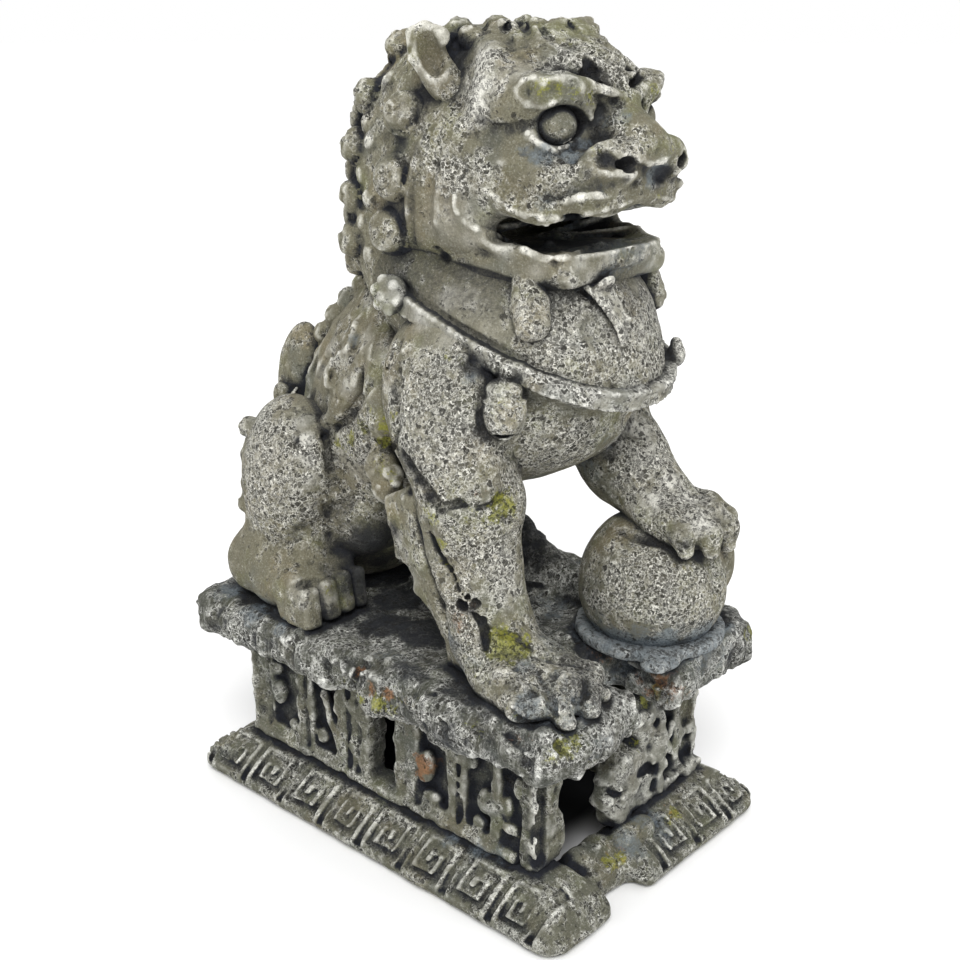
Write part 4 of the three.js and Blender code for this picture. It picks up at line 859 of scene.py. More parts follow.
    bell = [ell(bc, (3.9, 3.9, 4.8)), ell(bc + (0, 0, 3.9), (3.2, 3.2, 1.9), k=0.5), cap(bc + (0, 0, 5.0), bc + (0.3, 0.3, 6.8), 1.0, 0.9, k=0.3),
            custom(lambda P: np.sqrt((np.sqrt((P[0] - F(bc[0])) ** 2 + (P[1] - F(bc[1])) ** 2) - F(3.5)) ** 2 + (P[2] - F(bc[2] + 2.2)) ** 2) - F(0.40), bc - (4.2, 4.2, 0), bc + (4.2, 4.2, 3), k=0.2),
            box(bc + (-1.6, -2.4, -3.6), (2.6, 2.6, 0.4), rot(0, 0, 35), r=0.3, k=0.3, mode="-")]
    E["right_bell"] = bell
    E["left_bell"] = mir(bell)
    blend = {"torso": 4.0, "right_foreleg": 3.5, "left_foreleg": 3.5, "right_hind_leg": 3.0, "left_hind_leg": 3.0, "neck_bib": 1.6, "head": 3.0, "mane": 1.2, "lower_jaw": 1.5, "right_back_locks": 1.8, "left_back_locks": 1.8, "tail": 1.4}
    return D, blend, carve, E

# ------------------------------------------------------------------ stains, wear and painted shade, placed on the form
# (centre in millimetres, radius, strength)
PITTED = [((-17.5, -19, 143), 6, 0.85), ((-17, -18, 139), 4, 0.8), ((-13, -26, 145.5), 4, 0.6), ((-20, -13.5, 131.0), 4.5, 1.0), ((-13.4, -31.6, 130), 3.6, 0.85), ((-18.5, -20, 131), 3.0, 0.6), ((-19.6, -8, 122), 4.5, 0.6), ((-17, -14, 116.5), 4, 0.5), ((-6, -37, 135), 3.5, 0.6),
          ((-18, 10, 78), 8, 0.9), ((-16, 18, 90), 8, 0.5), ((-22, 8, 86), 5, 0.5), ((-9, -37, 101), 10, 1.0), ((-1, -39, 102), 9, 1.0),
          ((-14.5, -33, 101), 6, 0.9), ((-16, -27, 108), 5, 0.7), ((-19, -18, 107), 5, 0.6), ((-26, -17, 91), 10, 1.0), ((-23, -21, 96), 7, 0.9), ((-27, -15, 83), 7, 0.8), ((-27, 24, 74), 10, 1.0), ((-28, 27, 65), 8, 0.8),
          ((-24, -26, 66), 8, 1.0), ((-26, -22, 58), 7, 0.8), ((-8, -31, 84), 6, 0.6), ((4, -42, 57), 12, 1.0), ((10, -46, 52), 10, 0.9), ((14, -32, 78), 9, 0.9), ((13.5, -44, 69), 8, 0.8), ((6, -29, 147), 7, 0.8), ((0, -30, 147), 6, 0.8)]
SMOOTH = [((-19.5, -10, 121), 7, 1.0), ((-18, -20, 113.5), 8, 0.8), ((-19, -12, 111), 7, 0.8), ((-20, -14, 107), 6, 0.7)]
MOSS = [((-21.5, -28.5, 74.5), 5.0, 1.0), ((-26.5, -26, 74), 4.5, 0.8), ((-25.5, -32.6, 52), 4.2, 1.1), ((-22.5, -32.4, 53.6), 3.6, 0.9), ((-33.6, -14, 37), 5.5, 0.8), ((-33.5, 1, 36), 4.5, 0.9), ((-18.8, 6, 78), 4.5, 0.7), ((-18, 6.2, 73), 4, 0.6),
        ((-15.2, -26, 141.6), 3.6, 0.55), ((-27, -48, 38), 5, 0.6), ((-26.8, -24, 58), 4, 0.45), ((-10, -44, 5), 5, 0.5), ((-20, 10.5, 47.5), 4.0, 0.55), ((-25, 10.5, 48), 4.5, 0.6), ((26, -28, 74), 4, 0.5), ((-8, -33, 141.5), 3.4, 0.5)]
RUST = [((3.6, -46.4, 37.6), 4.6, 1.1), ((6.8, -48.4, 38), 3.4, 0.8), ((2.6, -41, 37), 5.0, 0.8), ((-25.4, -13.0, 20.5), 2.9, 1.5), ((-33.8, 3.4, 37.5), 4.0, 0.8), ((-9, -43.4, 5.2), 4.0, 0.9), ((-34, -9, 38), 4, 0.6), ((-1, -38.5, 13), 4, 0.6), ((-24.5, -20, 22), 3.5, 0.4),
        ((-4.5, -36, 38), 4, 0.6), ((30, 10, 38), 4, 0.6), ((25.4, 18, 20), 3, 0.7)]
BLUE = [((14, -34, 43), 17, 1.0), ((-24, -43, 47.5), 8, 0.8), ((-14, -42, 47), 7, 0.8), ((-29, -3, 42), 9, 0.5), ((-30, 26, 42), 10, 0.6), ((-20, 45, 42), 10, 0.6), ((20, 5, 43), 14, 0.7), ((0, -25, 119.5), 13, 1.2), ((-11, -30, 136), 3.6, 0.6), ((11, -30, 136), 3.6, 0.6), ((2, -40, 130), 4, 0.5), ((-25, -41, 42), 9, 0.7), ((-30, -30, 42), 8, 0.5)]
BROWN = [((-18, 10, 80), 10, 1.0), ((-15, 16, 94), 10, 0.9), ((-19.5, -8, 124), 8, 0.7), ((-19, -10, 115), 8, 0.6), ((-22, 14, 62), 8, 0.7), ((-27, -14, 79), 6, 0.6), ((-26, -20, 62), 6, 0.5), ((-14, -28, 128), 6, 0.4), ((-24, 33, 52), 9, 0.4)]

# painted shade under the belly, between the legs and inside the mouth
DARK_SHADE = [((-14, 12, 52), 11, 1.0), ((-8, 2, 56), 14, 0.9), ((-19, 9, 56), 7, 0.9), ((0, -22, 120), 11, 1.0), ((-23.4, -41.0, 21), 0.1, 0.0), ((-15, -2, 50), 10, 0.9)]
LIGHT = [((-26, 30, 76), 9, 0.5), ((-22, -20, 104), 9, 0.35), ((-14, -33, 108), 9, 0.35), ((-20, -16, 123.5), 5, 0.5), ((-27, -18, 88), 8, 0.3)]


def patch(V, spots, seed, soft=0.55, grain=3.0, both_sides=True):
    """Strength of a set of ragged round patches at points."""
    n = 0.55 * fbm(V, grain, seed, 3)
    m = np.zeros(len(V))
    for c, r, w in spots:
        for s in ((1, -1) if both_sides else (1,)):
            d = np.linalg.norm(V - np.array((c[0] * s, c[1], c[2])), axis=1) / r
            m = np.maximum(m, w * np.clip((1.0 + soft - d + n * 0.9) / (2 * soft), 0, 1))
    return m



# the same, for what the camera sees: (across, down in the view; radius mm, strength)
SPOTS = {
    "moss": [(505, 502, 2.6, 1.1), (498, 512, 2.4, 1.0), (488, 520, 1.8, 0.7), (512, 510, 1.6, 0.9), (505, 645, 3.2, 1.3), (520, 650, 2.2, 1.1), (495, 650, 2.4, 1.0), (512, 660, 2.0, 0.8), (528, 640, 1.6, 0.9),
             (432, 520, 2.0, 0.8), (440, 545, 2.0, 0.8), (446, 560, 1.6, 0.6), (425, 505, 1.6, 0.6), (352, 438, 2.2, 0.9), (340, 445, 1.8, 0.8), (362, 425, 2.0, 0.9), (370, 412, 1.8, 0.8), (350, 452, 2.0, 0.6),
             (386, 425, 2.0, 1.0), (384, 440, 1.8, 1.0), (392, 415, 1.6, 0.7), (388, 400, 1.4, 0.5), (383, 465, 2.2, 0.7), (392, 475, 2.0, 0.7), (400, 488, 1.6, 0.6), (410, 480, 1.6, 0.6),
             (545, 88, 2.0, 0.8), (530, 93, 1.6, 0.5), (575, 95, 1.6, 0.6), (590, 95, 1.8, 0.7), (560, 88, 1.8, 0.6), (448, 357, 1.6, 0.7), (462, 362, 1.4, 0.7), (425, 300, 2.0, 0.4),
             (598, 150, 1.6, 0.6), (640, 145, 1.8, 0.5), (672, 150, 1.8, 0.6), (660, 195, 1.8, 0.6), (625, 200, 1.6, 0.4), (500, 410, 2.4, 0.5), (515, 425, 1.6, 0.5),
             (375, 705, 2.4, 1.0), (360, 700, 2.0, 0.9), (390, 712, 1.8, 0.8), (350, 690, 1.6, 0.6), (345, 680, 1.5, 0.6), (560, 750, 2.2, 1.0), (552, 760, 1.8, 0.8), (575, 742, 1.8, 0.8), (570, 755, 1.6, 0.7),
             (610, 862, 2.0, 1.0), (620, 858, 1.6, 0.9), (655, 692, 2.0, 0.9), (645, 700, 1.8, 0.9), (636, 742, 1.6, 0.7), (638, 752, 1.4, 0.6), (668, 700, 1.6, 0.7),
             (352, 590, 1.8, 0.9), (330, 590, 1.6, 0.7), (340, 600, 1.6, 0.6), (365, 585, 1.4, 0.5), (475, 673, 2.2, 0.6), (490, 680, 1.8, 0.5), (510, 712, 1.8, 0.5), (480, 735, 2.4, 0.5), (470, 725, 2.0, 0.5), (245, 480, 1.6, 0.6), (250, 500, 1.4, 0.5)],
    "rust": [(421, 765, 1.9, 1.7), (420, 775, 1.5, 1.3), (418, 758, 1.3, 1.0), (373, 690, 1.8, 0.9), (388, 693, 1.6, 1.0), (360, 672, 1.4, 0.9), (410, 705, 2.0, 0.6), (418, 715, 1.6, 0.6), (405, 730, 1.4, 0.5),
             (660, 680, 2.4, 1.0), (650, 690, 2.0, 0.8), (672, 690, 1.8, 0.9), (640, 680, 1.6, 0.7), (600, 655, 1.8, 0.6), (610, 660, 1.6, 0.6), (590, 648, 1.4, 0.6), (480, 497, 2.0, 0.6), (470, 492, 1.6, 0.5),
             (455, 617, 2.0, 0.7), (465, 630, 1.8, 0.7), (470, 610, 1.6, 0.6), (466, 600, 1.4, 0.5), (655, 508, 1.6, 0.35), (520, 742, 2.0, 0.6), (530, 738, 1.4, 0.5), (500, 705, 1.8, 0.4), (325, 735, 1.6, 0.4), (340, 720, 1.6, 0.3), (405, 118, 3.0, 0.35)],
    "brown": [(465, 615, 3.0, 1.0), (475, 640, 2.6, 0.9), (460, 570, 2.4, 0.8), (452, 590, 2.0, 0.8), (440, 530, 2.0, 0.6), (480, 465, 4.5, 0.6), (500, 480, 3.0, 0.6), (470, 450, 3.0, 0.4),
              (392, 360, 2.4, 0.8), (382, 340, 2.4, 0.9), (375, 320, 2.2, 0.9), (365, 370, 2.2, 0.9), (355, 400, 2.0, 0.9), (385, 400, 2.4, 0.7), (350, 470, 4.0, 0.7), (345, 490, 3.0, 0.6),
              (505, 190, 3.0, 0.8), (525, 190, 2.4, 0.6), (460, 180, 2.4, 0.5), (445, 190, 2.0, 0.5), (440, 135, 3.0, 0.5), (480, 185, 2.6, 0.6), (432, 60, 3.2, 0.9), (440, 80, 2.8, 0.8), (425, 45, 2.4, 0.7),
              (405, 112, 3.2, 0.6), (390, 170, 3.4, 0.45), (380, 230, 3.4, 0.35), (270, 460, 5.0, 0.5), (270, 490, 4.0, 0.4), (600, 170, 2.4, 0.5), (625, 165, 2.4, 0.4), (585, 250, 3.0, 0.4), (520, 270, 3.0, 0.4)],
    # dark: painted shade in hollows of the face, under the jaw, and in the deep shade behind the foreleg and under the
    # belly
    "dark": [(528, 152, 1.1, 0.4), (543, 158, 1.2, 0.45), (558, 161, 1.2, 0.45), (574, 157, 1.2, 0.45), (587, 172, 1.1, 0.7), (597, 181, 1.1, 0.7), (612, 184, 1.1, 0.7), (626, 180, 1.1, 0.7), (556, 194, 1.0, 0.5), (572, 190, 1.0, 0.6), (590, 188, 1.0, 0.6), (463, 104, 1.2, 0.6), (466, 88, 1.2, 0.5), (468, 70, 1.2, 0.5), (480, 121, 1.0, 0.7), (494, 129, 1.0, 0.7), (510, 131, 1.0, 0.7), (526, 128, 1.0, 0.8), (448, 200, 1.0, 0.4), (452, 222, 1.0, 0.4), (576, 112, 1.0, 0.35), (500, 214, 1.0, 0.6),
             (450, 275, 2.2, 0.55), (480, 284, 2.2, 0.6), (510, 291, 2.2, 0.6), (535, 298, 2.0, 0.5), (430, 268, 2.0, 0.5), (418, 150, 2.2, 0.5), (414, 180, 2.2, 0.5), (412, 210, 2.2, 0.5), (416, 240, 2.2, 0.5), (428, 130, 2.0, 0.45), (590, 120, 1.3, 0.35), (600, 128, 1.2, 0.30), (586, 135, 1.2, 0.40),
             (606, 160, 1.3, 1.2), (660, 172, 2.4, 1.2), (645, 168, 1.6, 1.0), (675, 178, 1.4, 0.9), (400, 600, 5.0, 1.8), (385, 560, 4.0, 1.1), (420, 630, 5.0, 1.8), (360, 610, 3.4, 1.1), (440, 640, 3.5, 1.0), (385, 625, 4.5, 1.8), (350, 620, 2.8, 1.0),
             (330, 612, 2.0, 0.9), (410, 575, 3.0, 1.1), (395, 530, 2.4, 0.9), (380, 545, 2.6, 0.9), (300, 525, 2.5, 0.6), (330, 518, 2.5, 0.5), (345, 525, 2.5, 0.6), (360, 540, 3.0, 0.8), (330, 560, 2.5, 0.4), (470, 365, 1.8, 1.1), (485, 372, 1.8, 1.1), (495, 380, 1.5, 1.0), (478, 430, 1.4, 0.9), (486, 438, 1.3, 0.8),
             (325, 433, 1.2, 1.0), (340, 428, 1.1, 0.9), (355, 412, 1.2, 0.8), (352, 345, 1.4, 0.45), (350, 358, 1.3, 0.45), (368, 385, 1.6, 0.6), (405, 455, 1.8, 0.8), (412, 465, 1.8, 0.9), (420, 480, 1.5, 0.9), (430, 497, 1.4, 1.0), (400, 465, 2.0, 0.6),
             (298, 440, 0.9, 1.2), (462, 603, 1.3, 1.2), (472, 612, 1.2, 1.0), (484, 640, 1.2, 1.0), (430, 660, 4.0, 0.6), (450, 690, 2.4, 0.9), (470, 700, 2.2, 0.9), (488, 712, 2.0, 0.8), (420, 690, 2.4, 0.4), (590, 660, 1.6, 0.8), (615, 668, 1.8, 0.8), (640, 668, 1.5, 0.7),
             (685, 545, 1.6, 1.0), (700, 558, 1.8, 1.0), (670, 540, 1.4, 0.8), (640, 537, 1.4, 0.7), (620, 532, 1.2, 0.7), (575, 650, 1.2, 0.9), (577, 600, 1.6, 0.8), (577, 625, 1.4, 0.9), (578, 125, 1.0, 0.8), (571, 147, 0.9, 0.6), (555, 154, 1.0, 0.7), (540, 151, 0.9, 0.5),
             (445, 256, 1.0, 1.0), (590, 68, 1.3, 1.0), (600, 78, 1.1, 0.8), (240, 455, 1.2, 0.8), (235, 480, 1.2, 0.8), (385, 85, 1.8, 0.7), (400, 140, 2.2, 0.8), (385, 135, 1.6, 0.6), (410, 195, 1.6, 0.5), (400, 150, 2.0, 0.5)],
    "blue": [(622, 116, 1.8, 0.6), (605, 122, 1.4, 0.5), (540, 158, 2.6, 0.8), (570, 155, 2.2, 0.8), (585, 145, 1.8, 0.6), (525, 150, 2.0, 0.6), (655, 172, 2.8, 0.9), (545, 200, 2.2, 0.5), (600, 190, 1.8, 0.4),
             (620, 640, 4.0, 1.1), (660, 650, 4.0, 1.2), (700, 635, 4.0, 1.1), (720, 620, 3.0, 1.0), (595, 630, 3.0, 1.0), (640, 655, 3.0, 1.0), (545, 685, 3.0, 0.45), (560, 700, 3.0, 0.40), (520, 665, 2.6, 0.35), (590, 690, 2.6, 0.40), (535, 655, 2.4, 0.25), (500, 690, 2.0, 0.25),
             (230, 590, 4.0, 0.8), (255, 610, 3.5, 0.8), (280, 628, 2.6, 0.7), (550, 610, 5.0, 0.6), (550, 640, 4.0, 0.6), (570, 720, 2.4, 0.6), (590, 712, 2.4, 0.6), (600, 745, 3.0, 0.5), (400, 660, 3.0, 0.5), (380, 655, 2.6, 0.5),
             (450, 840, 2.4, 0.7), (480, 850, 2.4, 0.7), (500, 855, 2.0, 0.6), (625, 840, 3.0, 0.7), (640, 850, 3.0, 0.6), (640, 820, 2.6, 0.6), (660, 780, 2.6, 0.4), (395, 815, 2.4, 0.4), (585, 350, 4.0, 0.4), (560, 340, 3.0, 0.4), (470, 375, 2.0, 0.7), (355, 340, 1.5, 0.6), (600, 440, 5.0, 0.4), (560, 460, 4.0, 0.4), (590, 470, 3.0, 0.5)],
    "light": [(527, 133, 0.6, 1.2), (532, 137, 0.6, 1.2), (537, 141, 0.6, 1.2), (542, 144, 0.6, 1.2), (548, 147, 0.6, 1.2), (554, 149, 0.6, 1.2), (560, 148, 0.6, 1.2), (566, 145, 0.6, 1.2), (571, 140, 0.55, 1.1), (575, 134, 0.5, 1.0), (318, 590, 1.2, 0.7), (334, 596, 1.2, 0.7), (350, 594, 1.2, 0.7), (366, 590, 1.2, 0.7), (300, 604, 1.4, 0.6),
              (640, 430, 3.5, 0.93), (650, 460, 3.5, 0.93), (670, 480, 3.0, 0.93), (690, 500, 3.0, 0.96), (700, 520, 2.5, 0.96), (655, 500, 3.0, 0.96), (620, 440, 3.0, 0.6), (500, 250, 2.0, 0.4), (470, 240, 2.0, 0.4), (660, 250, 1.6, 0.4), (580, 262, 2.0, 0.5), (610, 256, 2.0, 0.5), (640, 250, 2.0, 0.5), (540, 268, 2.0, 0.4), (480, 60, 3.2, 0.95), (478, 84, 3.2, 0.95), (474, 105, 2.8, 0.95), (520, 70, 2.4, 0.4), (550, 70, 2.4, 0.4), (640, 330, 3.0, 0.5), (610, 330, 4.0, 0.4), (570, 330, 4.0, 0.35), (300, 590, 2.0, 0.5), (320, 600, 2.0, 0.5),
              (340, 355, 2.2, 0.5), (345, 385, 2.2, 0.5), (365, 340, 2.0, 0.4), (388, 350, 2.4, 0.5), (388, 390, 2.4, 0.5), (345, 450, 3.0, 0.4), (360, 470, 3.0, 0.4), (410, 165, 1.6, 0.0),
              (305, 440, 1.8, 1.0), (308, 460, 1.8, 1.0), (300, 425, 1.6, 0.8), (312, 480, 1.6, 0.7), (298, 455, 1.4, 0.8), (370, 300, 2.0, 0.5), (395, 300, 2.0, 0.7), (420, 318, 2.0, 0.6), (450, 338, 2.0, 0.6), (480, 95, 2.4, 0.5), (470, 80, 2.2, 0.4), (490, 50, 2.4, 0.4),
              (450, 300, 2.4, 0.5), (470, 300, 2.4, 0.4), (520, 310, 2.2, 0.5), (330, 345, 2.2, 0.5), (320, 370, 2.0, 0.5), (310, 395, 1.6, 0.5), (285, 400, 1.4, 0.5), (640, 390, 2.2, 0.6), (600, 395, 2.2, 0.6), (560, 385, 2.0, 0.6), (520, 370, 2.0, 0.6),
              (700, 500, 2.4, 0.6), (720, 515, 2.0, 0.6), (640, 500, 3.0, 0.4), (660, 455, 3.0, 0.35), (500, 560, 3.0, 0.4), (510, 590, 3.0, 0.4), (400, 540, 1.4, 0.6), (415, 580, 1.2, 0.6), (425, 605, 1.2, 0.6), (405, 555, 1.2, 0.6), (600, 700, 1.4, 0.6), (585, 718, 1.4, 0.6), (620, 700, 2.0, 0.4), (610, 730, 2.4, 0.4),
              (605, 295, 2.0, 0.7), (612, 315, 1.5, 0.6), (590, 280, 2.0, 0.6), (530, 850, 1.2, 0.6), (553, 830, 1.2, 0.6), (455, 790, 1.2, 0.5), (490, 810, 1.2, 0.5)],
}


def settle(G, grid):
    """Turns the spots in the view into spots on the form; those on the near side are repeated on the far side."""
    whole = tuple(slice(0, n) for n in G.shape)
    out = {}
    for kind, rows in SPOTS.items():
        p, _ = meet(G, grid, whole, [r[:2] for r in rows])
        rr = []
        for q, (_, _, r, w) in zip(p, rows):
            rr.append((q, r, w))
            if q[0] < -3:
                rr.append((q * np.array((-1, 1, 1)), r, w))
        out[kind] = rr
    return out


def dab(V, spots, seed, soft=0.5, grain=2.2):
    """Strength at points of the spots that reach them."""
    lo, hi = V.min(0), V.max(0)
    n = 0.55 * fbm(V, grain, seed, 3)
    m = np.zeros(len(V))
    for c, r, w in spots:
        if np.any(c + 2.6 * r < lo) or np.any(c - 2.6 * r > hi):
            continue
        d = np.linalg.norm(V - c, axis=1) / r
        m = np.maximum(m, w * np.clip((1.0 + soft - d + n * 0.9) / (2 * soft), 0, 1))
    return m

# ------------------------------------------------------------------ carved lines, placed by where they show from the camera
# Each line: (kind, radius mm, depth or height mm, softness, other side too, points across the view)
# kinds: g groove, r ridge, d dent, p pad
EYE = np.array((-179.80, -163.77, 151.98))
YAW, PITCH, FOC = np.radians(48.11), np.radians(18.99), 1309.41
AHEAD = np.array((np.sin(YAW) * np.cos(PITCH), np.cos(YAW) * np.cos(PITCH), -np.sin(PITCH)))
ASIDE = np.array((np.cos(YAW), -np.sin(YAW), 0.0))
ALOFT = np.cross(ASIDE, AHEAD)
HEAD_LINES = [
    # temple and brow
    ("g", 2.8, 0.75, 1.6, 1, [(469, 50), (470, 66), (467, 82), (463, 98), (463, 110)]),
    ("r", 1.5, 0.50, 1.4, 1, [(492, 44), (493, 56), (488, 70), (484, 84), (478, 100), (476, 112)]),
    ("g", 1.0, 0.80, 0.5, 1, [(477, 116), (484, 124), (494, 129), (508, 130), (520, 128), (529, 125)]),
    ("r", 1.1, 0.70, 0.6, 1, [(516, 90), (524, 83), (534, 80), (546, 83), (560, 80), (573, 81), (581, 87), (584, 95)]),
    ("r", 0.8, 0.50, 0.4, 1, [(517, 98), (528, 104), (542, 106), (552, 102), (561, 98)]),
    ("d", 1.5, 0.55, 0.5, 1, [(527, 91)]), ("d", 1.7, 0.50, 0.5, 1, [(554, 91)]), ("d", 1.3, 0.4, 0.5, 1, [(508, 96)]),
    ("r", 1.0, 0.60, 0.5, 0, [(576, 80), (590, 84), (602, 90), (614, 94), (626, 96)]),
    ("g", 0.8, 0.60, 0.5, 0, [(588, 95), (600, 99), (616, 103), (626, 105)]),
    ("g", 1.7, 2.2, 0.5, 0, [(588, 63), (589, 71), (594, 78)]),
    ("d", 1.2, 1.0, 0.4, 0, [(606, 74)]),
    ("r", 0.9, 0.45, 0.5, 0, [(530, 28), (540, 40), (556, 48), (570, 58), (581, 66)]),
    ("r", 1.1, 0.55, 0.5, 0, [(598, 60), (608, 67), (622, 78), (629, 90)]),
    ("g", 0.8, 0.45, 0.5, 0, [(602, 56), (616, 64), (630, 76), (637, 88)]),
    ("r", 1.0, 0.50, 0.5, 0, [(608, 50), (626, 61), (640, 74), (650, 86)]),
    # edge of the face against the mane
    ("g", 2.2, 0.9, 1.2, 1, [(441, 128), (434, 150), (430, 172), (427, 195), (425, 218), (430, 240)]),
    ("r", 1.3, 0.4, 0.8, 1, [(452, 135), (446, 155), (441, 178), (438, 200), (438, 222), (446, 244)]),
    ("g", 1.4, 0.5, 0.9, 1, [(470, 128), (490, 140), (512, 143)]), ("p", 2.2, 0.5, 0.9, 1, [(500, 166)]), ("p", 2.6, 0.5, 0.9, 1, [(556, 172)]),
    # strands between the face and the curls
    ("g", 0.7, 0.55, 0.4, 1, [(424, 126), (417, 150), (413, 175), (411, 200), (411, 225), (415, 246)]), ("g", 0.6, 0.45, 0.4, 1, [(414, 142), (408, 165), (404, 190), (402, 214), (405, 240)]), ("r", 0.8, 0.4, 0.4, 1, [(420, 140), (413, 165), (408, 190), (407, 215), (410, 240)]),
    ("g", 0.6, 0.45, 0.4, 1, [(434, 118), (426, 140), (421, 162), (419, 186), (418, 210), (421, 234)]),
    # lower lid and the hollow under it
    ("g", 1.2, 0.60, 0.8, 1, [(518, 146), (532, 154), (552, 160), (572, 158), (582, 152)]),
    ("r", 0.65, 0.50, 0.3, 1, [(529, 138), (538, 143), (548, 148), (560, 149), (571, 144), (577, 136)]),
    # nose
    ("r", 0.9, 0.35, 0.5, 0, [(588, 160), (591, 151), (600, 144), (612, 141), (626, 139)]), 
    ("d", 1.5, 1.5, 0.4, 0, [(604, 160)]), ("d", 1.2, 1.3, 0.4, 0, [(612, 163)]), 
    ("g", 1.7, 1.5, 0.5, 0, [(642, 167), (654, 173), (668, 174)]), ("r", 0.8, 0.50, 0.4, 0, [(638, 160), (650, 163), (664, 160), (674, 152)]), ("r", 0.8, 0.50, 0.4, 0, [(640, 181), (652, 186), (666, 185), (677, 179)]),
    ("g", 0.7, 0.5, 0.4, 0, [(664, 142), (660, 150), (655, 157)]),
    ("p", 1.2, 1.3, 0.3, 0, [(549, 247)]),
    # hair over the brow
    ("g", 0.7, 0.6, 0.4, 0, [(500, 40), (506, 28), (518, 24), (528, 32), (526, 44), (514, 48), (508, 40), (514, 33)]), ("g", 0.8, 0.6, 0.4, 0, [(535, 22), (548, 34), (566, 44), (590, 52)]), ("g", 0.8, 0.6, 0.4, 0, [(560, 18), (576, 30), (596, 38), (612, 50)]), ("g", 0.7, 0.5, 0.4, 0, [(590, 22), (600, 30), (612, 38)]),
    ("g", 0.6, 0.4, 0.4, 0, [(500, 52), (520, 56), (540, 62), (560, 72)]),
    # lips
    ("g", 1.4, 0.75, 0.8, 1, [(550, 196), (566, 192), (590, 187), (610, 187), (625, 181)]),
    ("r", 0.8, 0.45, 0.4, 1, [(548, 205), (566, 202), (580, 197), (598, 196), (616, 196), (630, 190), (637, 184)]),
    ("r", 0.75, 0.60, 0.35, 1, [(459, 190), (470, 187), (484, 190), (498, 198), (510, 208), (524, 214), (540, 217), (556, 218), (572, 216), (588, 212), (604, 208), (620, 204), (632, 200)]),
    ("d", 3.4, 0.95, 0.8, 1, [(472, 203)]), ("d", 2.8, 0.9, 0.8, 1, [(484, 208)]),
    ("r", 0.8, 0.70, 0.4, 1, [(459, 189), (454, 196), (453, 205), (457, 215), (466, 223)]),
    ("g", 1.1, 0.40, 0.8, 1, [(449, 186), (446, 200), (449, 215), (459, 227)]),
    ("r", 0.75, 0.60, 0.35, 1, [(460, 218), (476, 228), (492, 234), (508, 242), (524, 250), (536, 257), (550, 260), (566, 258), (582, 252), (600, 246), (620, 242), (640, 241), (653, 238)]),
    ("g", 2.2, 0.45, 1.2, 1, [(466, 178), (492, 177), (514, 182), (530, 193)]),
    ("d", 1.0, 1.1, 0.3, 1, [(446, 257)]), ("d", 0.8, 0.8, 0.3, 1, [(438, 250)]),
    ("g", 0.9, 0.5, 0.7, 1, [(432, 262), (460, 272), (490, 278), (520, 285)]),
] + [("g", 0.38, 0.30, 0.25, 1, [(x, 264 - (x - 560) * 0.2 + 2 * np.sin(x)), (x + 1, 277 - (x - 560) * 0.2)]) for x in range(556, 642, 6)]
